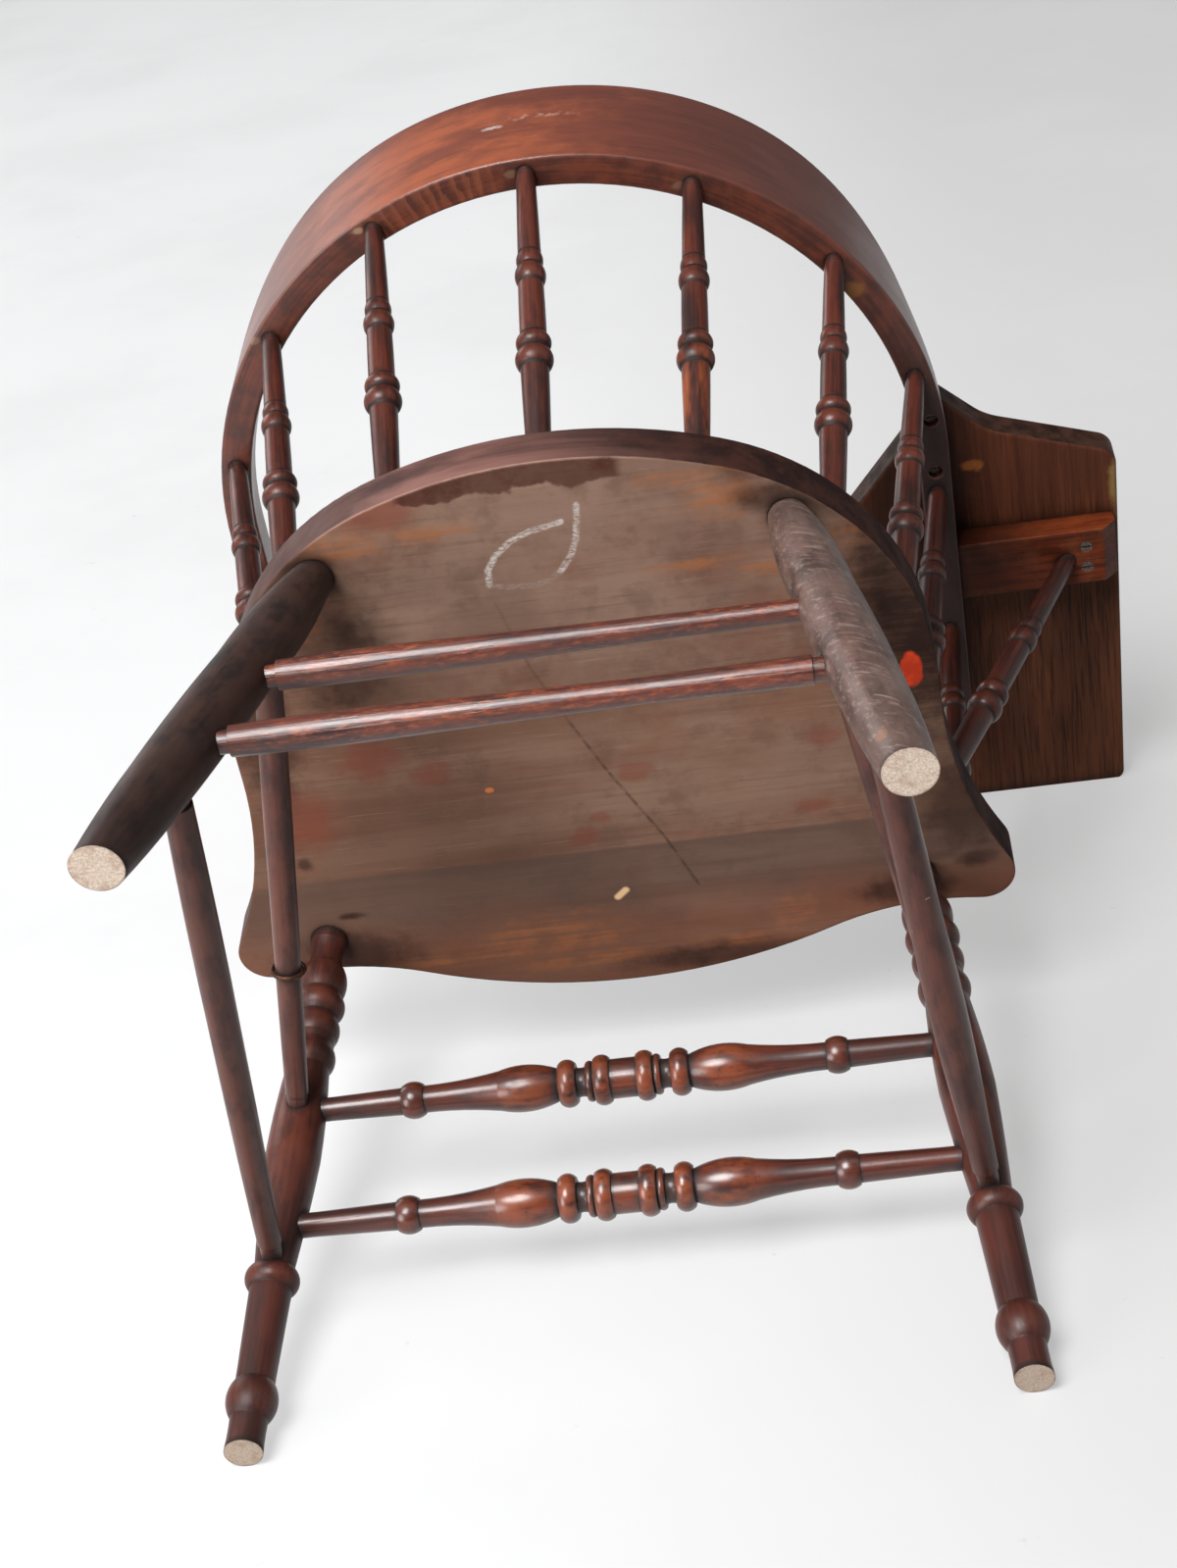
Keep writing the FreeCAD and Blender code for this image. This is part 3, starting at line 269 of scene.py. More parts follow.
class Turning:
    """Stained and varnished turning: long grain, dark grooves, rubbed high places."""

    def __init__(self, node, piece, tones, rubbing=0.75, stain=0.45):
        dark, mid, bright = tones
        self.wood = wood = Surface(node + "_wood")
        centre, turn, full, self.low_end, self.high_end = run_of(piece)
        self.length_place = wood.along(centre, turn)
        across = wood.vector("MULTIPLY", self.length_place, (1, 1, 0))
        girth = wood.math("DIVIDE", wood.vector("LENGTH", across, output="Value"), full)
        shift = tuple(centre * 20)
        self.grain = wood.noise(wood.scaled(self.length_place, (330, 330, 14)), 1.0, 6.0, 0.68)
        self.broad = wood.noise(wood.scaled(self.length_place, (60, 60, 12), shift), 1.0, 4.0, 0.6)
        self.mottle = wood.noise(wood.scaled(self.length_place, (80, 80, 34), shift), 1.0, 5.0, 0.62)
        self.fine = wood.noise(wood.place, 240.0, 3.0, 0.6)
        self.grime_and_shade = None
        tone = wood.sum(self.grain, 0.45, self.broad, 0.55)
        self.colour = wood.blend(wood.span(tone, 0.38, 0.62), dark, mid)
        rubbed = wood.times(wood.span(girth, 0.60, 0.98), wood.span(self.mottle, 0.36, 0.60))
        self.blend(wood.times(rubbed, rubbing), bright)
        self.blend(wood.times(wood.span(self.mottle, 0.50, 0.36), stain), dark)

    def blend(self, share, colour):
        self.colour = self.wood.blend(share, self.colour, colour)

    def wear(self, amount):
        edge = self.wood.edge_wear(0.0008)
        self.blend(self.wood.times(edge, self.wood.span(self.mottle, 0.40, 0.60), amount), WORN_WOOD)

    def dust(self, amount):
        wood = self.wood
        cloud = wood.noise(wood.place, 20.0, 6.0, 0.7)
        self.blend(wood.times(wood.span(cloud, 0.36, 0.60), amount), DUST)
        self.blend(wood.times(wood.span(self.grain, 0.60, 0.72), amount, 0.6), (0.30, 0.22, 0.18))

    def groove(self, amount=0.92, distance=0.006):
        # grime and painted shade in the grooves
        self.grime_and_shade = self.wood.times(self.wood.crevice(distance, 0.98, 0.72), amount)
        self.blend(self.grime_and_shade, GRIME_AND_SHADE)

    def rings(self, places, width, amount):
        """Dark lines of grime and painted shade round the piece, each at its distance along the run."""
        wood = self.wood
        run = wood.split(self.length_place)["Z"]
        away = [wood.math("ABSOLUTE", wood.math("SUBTRACT", run, place)) for place in places]
        lines = wood.times(wood.largest([wood.span(gap, width, width * 0.4) for gap in away]), amount)
        self.grime_and_shade = wood.largest([self.grime_and_shade, lines])
        self.blend(lines, GRIME_AND_SHADE)

    def sole(self, darkening=0.0):
        """Pale sawn end grain with a darker rim under a foot."""
        wood = self.wood
        height = wood.split(wood.place)["Z"]
        flat = wood.times(wood.span(height, SOLE_DEPTH, SOLE_DEPTH / 3),
                          wood.span(wood.facing(), -0.7, -0.95))
        speck = wood.noise(wood.place, 700.0, 4.0, 0.7)
        blotch = wood.noise(wood.place, 110.0, 5.0, 0.7)
        pale = wood.blend(wood.span(speck, 0.30, 0.70), (0.49, 0.36, 0.28), (0.77, 0.66, 0.55))
        pale = wood.blend(wood.times(wood.span(blotch, 0.46, 0.66), 0.65), pale, (0.38, 0.24, 0.17))
        rim = wood.near_edge(0.0030)[1]
        pale = wood.blend(wood.times(rim, wood.span(blotch, 0.30, 0.60), 0.8), pale, (0.24, 0.13, 0.08))
        self.blend(flat, wood.blend(darkening, pale, (0.30, 0.21, 0.15)))

    def finish(self, shine, dull, specular, relief=0.25, coat=0.0):
        wood = self.wood
        roughness = wood.span(self.broad, 0.35, 0.65, dull, shine)
        if self.grime_and_shade is not None:
            roughness = wood.math("ADD", roughness, wood.times(self.grime_and_shade, 0.35))
        wood.bumps((self.grain, relief, 0.0006), (self.mottle, 0.15, 0.0010), (self.fine, 0.12, 0.0003))
        return wood.finish(self.colour, roughness, specular, coat=coat)


def front_leg_looks(node, piece):
    turning = Turning(node, piece, FRONT_LEG_TONES, rubbing=0.60, stain=0.20)
    turning.wear(0.35)
    turning.groove()
    turning.sole(darkening=0.38)
    return turning.finish(shine=0.32, dull=0.46, specular=0.28)


def back_leg_looks(node, piece):
    dusty = node.endswith("right")
    if dusty:
        turning = Turning(node, piece, DUSTY_LEG_TONES)
        wood = turning.wood
        # fine scratches that cross the grain at a slant
        slant = wood.along(run_of(piece)[0], Quaternion((0.3, 1.0, 0.2), 0.9))
        for scale, share in (((420, 420, 26), 0.55), ((190, 190, 16), 0.45)):
            scratch = wood.noise(wood.scaled(slant, scale), 1.0, 4.0, 0.7)
            turning.blend(wood.times(wood.span(scratch, 0.56, 0.68), share), SCRATCHED_WOOD)
            turning.blend(wood.times(wood.span(scratch, 0.44, 0.34), share), (0.050, 0.026, 0.020))
        turning.dust(0.38)
        # a chip beside the sole, and dark torn fibres where the stretchers enter
        chip = wood.patch(on_chair(-0.192, 0.2234, 0.0224), (0.0034, 0.0045, 0.0050), 1.0, 0.3)
        turning.blend(wood.times(chip, 0.6), (0.200, 0.085, 0.040))
        for y, height in ((0.150, 0.236), (0.185, 0.150), (0.165, 0.262)):
            gouge = wood.patch(on_chair(-0.155, y, height), (0.026, 0.018, 0.014), 2.6, 0.6)
            turning.blend(wood.times(gouge, wood.span(scratch, 0.60, 0.45), 0.75), (0.030, 0.015, 0.012))
    else:
        turning = Turning(node, piece, BLACK_LEG_TONES)
        turning.dust(0.04)
    turning.wear(0.15)
    turning.groove(0.6)
    turning.sole()
    if dusty:
        return turning.finish(shine=0.36, dull=0.50, specular=0.50, relief=0.30)
    return turning.finish(shine=0.46, dull=0.60, specular=0.30, relief=0.30)


# Each spindle's foot and tip lie in the seat and the rail. Its bead lines are shares of the length between.
HIDDEN_FOOT = 0.022
HIDDEN_TIP = 0.015
HIDDEN_BRACE_TIP = 0.020
BEAD_LINE_SHARES = (0.295, 0.359, 0.411, 0.603, 0.663, 0.713)
BEAD_LINE_WIDTH = 0.0017
# heights between which the stain of a spindle's foot fades out
FOOT_STAIN_TOP = 0.545
FOOT_STAIN_FULL = 0.455


def spindle_looks(node, piece):
    turning = Turning(node, piece, SPINDLE_TONES, rubbing=0.35)
    wood = turning.wood
    # one inner spindle is rubbed orange towards its foot, the centre one is darker towards its foot, the
    # others a little
    height = wood.split(wood.place)["Z"]
    low = wood.span(height, FOOT_STAIN_TOP, FOOT_STAIN_FULL)
    foot_tone = (0.300, 0.070, 0.020) if node == "back_spindle_inner_right" else (0.034, 0.009, 0.006)
    share = 0.80 if node in ("back_spindle_inner_right", "back_spindle_centre") else 0.35
    turning.blend(wood.times(low, wood.span(turning.broad, 0.40, 0.58), share), foot_tone)
    turning.wear(0.25)
    turning.groove()
    # dark lines of grime and painted shade between the beads, above the hidden foot and below the hidden tip
    start = turning.low_end + HIDDEN_FOOT
    hidden_tip = HIDDEN_BRACE_TIP if node == "tablet_brace" else HIDDEN_TIP
    length = turning.high_end - hidden_tip - start
    turning.rings([start + line * length for line in BEAD_LINE_SHARES], BEAD_LINE_WIDTH, 0.85)
    return turning.finish(shine=0.28, dull=0.42, specular=0.32, relief=0.15)


def front_stretcher_looks(node, piece):
    turning = Turning(node, piece, FRONT_STRETCHER_TONES, rubbing=0.70, stain=0.30)
    wood = turning.wood
    speck = wood.noise(wood.place, 260.0, 3.0, 0.6)
    turning.blend(wood.times(wood.span(speck, 0.58, 0.70), 0.6), (0.022, 0.009, 0.007))
    turning.wear(0.40)
    turning.groove(amount=0.95, distance=0.007)
    return turning.finish(shine=0.28, dull=0.36, specular=0.50, relief=0.08, coat=0.35)


def rear_stretcher_looks(node, piece):
    turning = Turning(node, piece, REAR_STRETCHER_TONES, rubbing=0.5)
    wood = turning.wood
    fleck = wood.noise(wood.scaled(turning.length_place, (420, 420, 130), (1, 4, 2)), 1.0, 5.0, 0.7)
    turning.blend(wood.times(wood.span(fleck, 0.50, 0.62), wood.span(turning.broad, 0.38, 0.56), 0.58),
                  (0.300, 0.070, 0.022))
    line = wood.noise(wood.scaled(turning.length_place, (600, 600, 20)), 1.0, 4.0, 0.6)
    turning.blend(wood.times(wood.span(line, 0.52, 0.64), 0.75), (0.020, 0.007, 0.006))
    turning.wear(0.2)
    wood.bumps((line, 0.45, 0.0010))
    return turning.finish(shine=0.26, dull=0.40, specular=0.50, relief=0.48, coat=0.34)


def side_stretcher_looks(node, piece):
    turning = Turning(node, piece, SIDE_STRETCHER_TONES, rubbing=0.5)
    wood = turning.wood
    if node.endswith("right_lower"):
        fleck = wood.noise(wood.place, 120.0, 2.0, 0.5)
        turning.blend(wood.times(wood.span(fleck, 0.74, 0.78), 0.8), (0.42, 0.34, 0.28))
    else:
        turning.dust(0.08)
    turning.wear(0.25)
    turning.groove(0.7)
    return turning.finish(shine=0.32, dull=0.48, specular=0.35, relief=0.40)


LOOKS = (
    ("front_leg", front_leg_looks),
    ("back_leg", back_leg_looks),
    ("back_spindle", spindle_looks),
    ("corner_spindle", spindle_looks),
    ("arm_spindle", spindle_looks),
    ("arm_post", spindle_looks),
    ("tablet_brace", spindle_looks),
    ("front_stretcher", front_stretcher_looks),
    ("rear_stretcher", rear_stretcher_looks),
    ("side_stretcher", side_stretcher_looks),
)
for node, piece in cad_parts.items():
    for start, looks in LOOKS:
        if node.startswith(start):
            dress(node, looks(node, piece))


# Seat. Marks under it are placed by their distance left of and behind the middle of the chair. A blotch is
# its place and its half lengths from side to side and from front to back.

RED_BLOTCHES = (
    ((0.1465, -0.026), (0.020, 0.015)), ((0.107, -0.044), (0.012, 0.009)), ((0.014, -0.112), (0.010, 0.007)),
    ((0.001, -0.097), (0.007, 0.005)), ((-0.029, -0.062), (0.012, 0.008)), ((-0.156, -0.052), (0.012, 0.008)),
    ((-0.1425, -0.108), (0.012, 0.005)), ((0.101, 0.163), (0.022, 0.014)),
    ((-0.070, 0.000), (0.016, 0.009)), ((0.200, -0.070), (0.018, 0.022)),
)
ORANGE_BLOTCHES = (
    ((-0.120, -0.203), (0.013, 0.016)), ((-0.070, -0.2195), (0.030, 0.006)), ((0.071, 0.143), (0.026, 0.006)),
    ((0.130, 0.140), (0.022, 0.008)), ((-0.112, 0.140), (0.024, 0.012)), ((-0.087, 0.160), (0.026, 0.005)),
    ((-0.090, 0.095), (0.030, 0.004)), ((-0.140, 0.090), (0.022, 0.009)), ((-0.190, 0.105), (0.012, 0.025)),
    ((0.165, 0.100), (0.012, 0.030)), ((0.030, -0.222), (0.050, 0.006)),
    ((0.115, -0.206), (0.045, 0.009)), ((0.050, -0.196), (0.045, 0.016)),
)
# dark stains, with painted shadow beside the back legs and painted shade towards the sitter's right
DARK_STAINS_AND_SHADOWS = (
    ((-0.225, 0.060), (0.036, 0.100)), ((-0.195, 0.150), (0.050, 0.030)), ((-0.110, 0.185), (0.028, 0.012)),
    ((0.175, 0.105), (0.020, 0.050)), ((0.215, 0.020), (0.022, 0.060)), ((0.195, -0.195), (0.045, 0.020)),
    ((-0.245, -0.120), (0.030, 0.040)), ((-0.220, 0.095), (0.022, 0.060)), ((-0.145, 0.165), (0.034, 0.014)),
    ((-0.198, -0.190), (0.030, 0.012)),
    ((-0.1395, 0.139), (0.020, 0.010)), ((0.209, -0.108), (0.005, 0.005)), ((0.186, -0.158), (0.009, 0.003)),
    ((-0.249, -0.169), (0.014, 0.007)), ((0.150, 0.060), (0.035, 0.045)), ((-0.060, -0.230), (0.060, 0.010)),
)
CHALK_HOOK = (
    ((0.0422, 0.0989), (0.0412, 0.1100), (0.0346, 0.1201), (0.0234, 0.1295), (0.0100, 0.1348),
     (-0.0107, 0.1390)),
    ((-0.0221, 0.1496), (-0.0207, 0.1389), (-0.0178, 0.1247), (-0.0127, 0.1130), (-0.0048, 0.1030)),
    ((-0.0048, 0.1030), (0.0039, 0.0968), (0.0138, 0.0946), (0.0326, 0.0959), (0.0422, 0.0989)),
)
CHALK_STRENGTHS = (0.90, 0.75, 0.22)
CRACK = ((0.0409, 0.0851), (0.0276, 0.0328), (0.0109, -0.0112), (-0.0098, -0.0594), (-0.0397, -0.1198),
         (-0.0572, -0.1653))
CHALK_WIDTH = 0.0030
CRACK_WIDTH = 0.0016
MARK_DEPTH = 0.02

# Other places under the seat, measured the same way
BOARD_JOINT = -0.125
BOARD_JOINT_HALF_WIDTH = 0.0015
SPILL_BORDER = 0.164
SPILL_LEFT_END = 0.090
SPILL_RIGHT_END = -0.052
PAINT_SPOT = (-0.2175, -0.0070)
ORANGE_SPOT = (0.0718, -0.0631)
CHIP_ENDS = ((0.0000, -0.1680), (-0.0062, -0.1625))
CHIP_WIDTH = 0.0036


def seat_marks(wood, table, wobble, edge):
    return wood.largest([wood.patch(under_seat(*place), (*size, MARK_DEPTH), wobble, edge)
                         for place, size in table])


def seat_boards(wood, y, grain, bands, mottle):
    """Colours of the two boards from below, without their marks."""
    cloud = wood.noise(wood.place, 8.0, 5.0, 0.62)
    under = wood.blend(wood.span(bands, 0.36, 0.64), (0.162, 0.084, 0.055), (0.236, 0.140, 0.097))
    pale = wood.patch(under_seat(-0.030, 0.105), (0.170, 0.085, MARK_DEPTH), 1.0, 0.5)
    under = wood.blend(wood.times(pale, 0.60), under, (0.290, 0.185, 0.140))
    under = wood.blend(wood.times(wood.span(cloud, 0.48, 0.66), 0.45), under, (0.120, 0.062, 0.044))
    # browner at the sitter's left front, paler at the right front
    sallow = wood.patch(under_seat(0.150, -0.130), (0.110, 0.110, MARK_DEPTH), 1.0, 0.6)
    under = wood.blend(wood.times(sallow, 0.50), under, (0.100, 0.044, 0.027))
    warm = wood.patch(under_seat(-0.110, -0.070), (0.110, 0.070, MARK_DEPTH), 1.0, 0.6)
    under = wood.blend(wood.times(warm, 0.50), under, (0.275, 0.170, 0.120))
    redder = wood.noise(wood.scaled(wood.place, (9, 16, 16), (3, 1, 0)), 1.0, 5.0, 0.65)
    under = wood.blend(wood.times(wood.span(redder, 0.48, 0.64), 0.45), under, (0.180, 0.072, 0.042))
    under = wood.blend(wood.times(wood.span(mottle, 0.50, 0.66), 0.35), under, (0.110, 0.058, 0.042))
    under = wood.blend(wood.times(wood.span(grain, 0.52, 0.68), 0.24), under, (0.085, 0.040, 0.028))
    scratch = wood.noise(wood.scaled(wood.place, (16, 520, 520)), 1.0, 3.0, 0.7)
    under = wood.blend(wood.times(wood.span(scratch, 0.60, 0.68), 0.20), under, (0.360, 0.250, 0.195))
    under = wood.blend(wood.times(wood.span(scratch, 0.40, 0.32), 0.30), under, (0.075, 0.038, 0.028))
    # the front board is darker, greyest at its joint and redder at its edge
    board = wood.span(y, BOARD_JOINT + BOARD_JOINT_HALF_WIDTH, BOARD_JOINT - BOARD_JOINT_HALF_WIDTH)
    towards_edge = wood.span(wood.ragged(y, mottle, 0.05), -0.150, -0.205)
    board_tone = wood.blend(towards_edge, (0.095, 0.058, 0.046), (0.180, 0.066, 0.038))
    return wood.blend(wood.times(board, wood.span(bands, 0.25, 0.60, 0.85, 0.55)), under, board_tone)


def seat_blotches(wood, under, x, y, grain, mottle):
    """Red and orange blotches, dark stains with painted shadow beside the back legs, painted shade at the
    sitter's right, and spilt stain along the back edge with a scalloped border.
    """
    red = wood.times(seat_marks(wood, RED_BLOTCHES, 1.6, 0.45), 0.42)
    under = wood.blend(red, under, (0.190, 0.040, 0.025))
    streaks = wood.span(wood.sum(grain, 0.6, mottle, 0.4), 0.42, 0.58)
    orange = wood.times(seat_marks(wood, ORANGE_BLOTCHES, 2.2, 0.6), streaks, 0.62)
    under = wood.blend(orange, under, (0.360, 0.130, 0.050))
    dark = wood.times(seat_marks(wood, DARK_STAINS_AND_SHADOWS, 1.2, 0.6), wood.span(mottle, 0.25, 0.60, 0.95, 0.70))
    under = wood.blend(dark, under, (0.030, 0.013, 0.009))
    # painted shade along the sitter's right side
    shade_at_right = wood.patch(under_seat(-0.224, 0.050), (0.032, 0.110, MARK_DEPTH), 1.0, 0.5)
    shade_at_right = wood.times(shade_at_right, wood.span(streaks, 0.9, 0.1, 0.45, 0.80))
    under = wood.blend(shade_at_right, under, (0.018, 0.008, 0.006))
    scallop = wood.ragged(y, wood.noise(wood.place, 45.0, 3.0, 0.5), 0.022)
    spill = wood.times(wood.span(scallop, SPILL_BORDER, SPILL_BORDER + 0.0025),
                       wood.span(x, SPILL_LEFT_END + 0.004, SPILL_LEFT_END - 0.004),
                       wood.span(x, SPILL_RIGHT_END - 0.004, SPILL_RIGHT_END + 0.004))
    spill = wood.times(spill, wood.span(mottle, 0.30, 0.60, 0.95, 0.75))
    return wood.blend(spill, under, (0.056, 0.016, 0.010))


def seat_small_marks(wood, under, y, mottle, fine):
    """The crack, chalk, paint, a chip of bare wood and an orange spot."""
    crack = wood.trail([under_seat(*place) for place in CRACK], CRACK_WIDTH)
    fresh = wood.times(crack, wood.span(fine, 0.35, 0.60, 0.15, 0.65), wood.span(y, 0.10, -0.05, 0.25, 1.0))
    under = wood.blend(fresh, under, (0.045, 0.025, 0.020))
    crumb = wood.noise(wood.scaled(wood.place, (260, 620, 400)), 1.0, 3.0, 0.7)
    crumbs = wood.times(wood.span(crumb, 0.34, 0.62), wood.span(mottle, 0.28, 0.56, 0.35, 1.0))
    for line, strength in zip(CHALK_HOOK, CHALK_STRENGTHS):
        chalk = wood.trail([under_seat(*place) for place in line], CHALK_WIDTH)
        under = wood.blend(wood.times(chalk, crumbs, strength), under, CHALK)
    paint = wood.patch(under_seat(*PAINT_SPOT), (0.0075, 0.0140, MARK_DEPTH), 0.9, 0.12)
    under = wood.blend(paint, under, wood.blend(wood.span(mottle, 0.40, 0.60), *PAINT))
    chip = wood.trail([under_seat(*place) for place in CHIP_ENDS], CHIP_WIDTH)
    under = wood.blend(chip, under, BARE_WOOD)
    spot = wood.patch(under_seat(*ORANGE_SPOT), (0.0030, 0.0022, MARK_DEPTH), 0.8, 0.2)
    return wood.blend(spot, under, (0.520, 0.170, 0.050))


def seat_top(wood, grain, bands, mottle):
    top = wood.blend(wood.span(bands, 0.36, 0.64), (0.038, 0.013, 0.009), (0.110, 0.032, 0.020))
    top = wood.blend(wood.times(wood.span(grain, 0.48, 0.66), 0.5), top, (0.030, 0.012, 0.009))
    sat_on = wood.patch(on_chair(0, -0.035, seat_high.z), (0.170, 0.150, 0.06), 0.8, 0.5)
    rubbed_tone = wood.blend(wood.span(grain, 0.38, 0.64), (0.300, 0.105, 0.045), (0.130, 0.042, 0.024))
    return wood.blend(wood.times(sat_on, wood.span(mottle, 0.30, 0.60, 0.35, 0.85)), top, rubbed_tone)


def seat_material():
    wood = Surface("seat_wood")
    x, y = wood.split(wood.scaled(wood.place, (1, 1, 1), tuple(-CHAIR_MIDDLE)))[:2]
    # the grain runs from side to side
    grain = wood.noise(wood.scaled(wood.place, (8, 210, 210)), 1.0, 6.0, 0.66)
    bands = wood.noise(wood.scaled(wood.place, (2.4, 26, 26)), 1.0, 4.0, 0.6, 0.4)
    mottle = wood.noise(wood.place, 36.0, 5.0, 0.65)
    fine = wood.noise(wood.place, 150.0, 4.0, 0.6)
    under = seat_boards(wood, y, grain, bands, mottle)
    under = seat_blotches(wood, under, x, y, grain, mottle)
    under = seat_small_marks(wood, under, y, mottle, fine)
    colour = wood.blend(wood.underside(), seat_top(wood, grain, bands, mottle), under)
    # the edge has painted shade towards the sitter's right and at its left end, and a painted pale glint along
    # its lower back corner
    side = wood.sides(-0.90)
    side_tone = wood.blend(wood.span(bands, 0.36, 0.62), (0.050, 0.024, 0.021), (0.185, 0.090, 0.074))
    shaded_side = wood.blend(wood.span(mottle, 0.40, 0.62), (0.014, 0.006, 0.005), (0.040, 0.014, 0.010))
    side_tone = wood.blend(wood.span(x, 0.06, -0.13), side_tone, shaded_side)
    side_tone = wood.blend(wood.times(wood.span(x, 0.08, 0.15), 0.80), side_tone, (0.034, 0.011, 0.008))
    colour = wood.blend(side, colour, side_tone)
    edge = wood.edge_wear(0.0026)
    worn = wood.times(edge, wood.span(mottle, 0.38, 0.60), 0.40)
    colour = wood.blend(worn, colour, (0.300, 0.110, 0.060))
    # painted pale glint along the lower back corner
    painted_glint = wood.times(wood.span(x, -0.09, -0.04), wood.span(x, 0.17, 0.12), wood.span(y, 0.10, 0.14))
    painted_glint = wood.times(edge, painted_glint, wood.span(mottle, 0.22, 0.50), 0.80)
    colour = wood.blend(painted_glint, colour, (0.480, 0.300, 0.240))
    # grime and painted shade in the joints
    colour = wood.blend(wood.times(wood.crevice(0.012), 0.85), colour, GRIME_AND_SHADE)
    dull = wood.times(side, wood.span(x, 0.06, -0.13), 0.30)
    roughness = wood.math("ADD", wood.span(mottle, 0.3, 0.7, 0.58, 0.44), dull)
    wood.bumps((grain, 0.25, 0.0008), (mottle, 0.15, 0.0016), (fine, 0.12, 0.0006))
    return wood.finish(colour, roughness, specular=0.12)


# Bent rail, in coordinates that run round the bend

# Angle of each spindle that has old glue at its top, from the sitter's left, and how much of it shows
GLUE_SHARES = ((90.0, 0.15), (64.3, 0.45), (115.7, 0.15), (38.4, 0.20))


def on_crest(x, height):
    """A place on the outer face of the crest, by its height above the rail's underside."""
    return on_chair(x, RAIL_OUTER_RADIUS, rail_low.z + height)


def rail_small_marks(wood, colour, fine):
    # old glue beside the tops of the back spindles
    for degrees, share in GLUE_SHARES:
        way = math.radians(degrees)
        reach = RAIL_OUTER_RADIUS - 0.010
        place = on_chair(math.cos(way) * reach + 0.010, math.sin(way) * reach, rail_low.z)
        glue = wood.patch(place, (0.0042, 0.0026, 0.003), 1.6, 0.4)
        colour = wood.blend(wood.times(glue, share), colour, OLD_GLUE)
    # pale scuffs on the outer face of the crest, and a yellow rub low on its right
    scuff = wood.patch(on_crest(0.024, 0.060), (0.0075, 0.006, 0.0026), 3.0, 0.5)
    trail = wood.patch(on_crest(-0.010, 0.070), (0.030, 0.004, 0.004), 3.0, 0.3)
    colour = wood.blend(wood.times(scuff, wood.span(fine, 0.35, 0.60), 0.62), colour, (0.60, 0.52, 0.50))
    colour = wood.blend(wood.times(trail, wood.span(fine, 0.50, 0.62), 0.55), colour, (0.45, 0.25, 0.20))
    rub = wood.patch(on_chair(-0.212, 0.135, rail_low.z), (0.006, 0.006, 0.004), 2.2, 0.5)
    return wood.blend(wood.times(rub, 0.45), colour, (0.38, 0.17, 0.04))


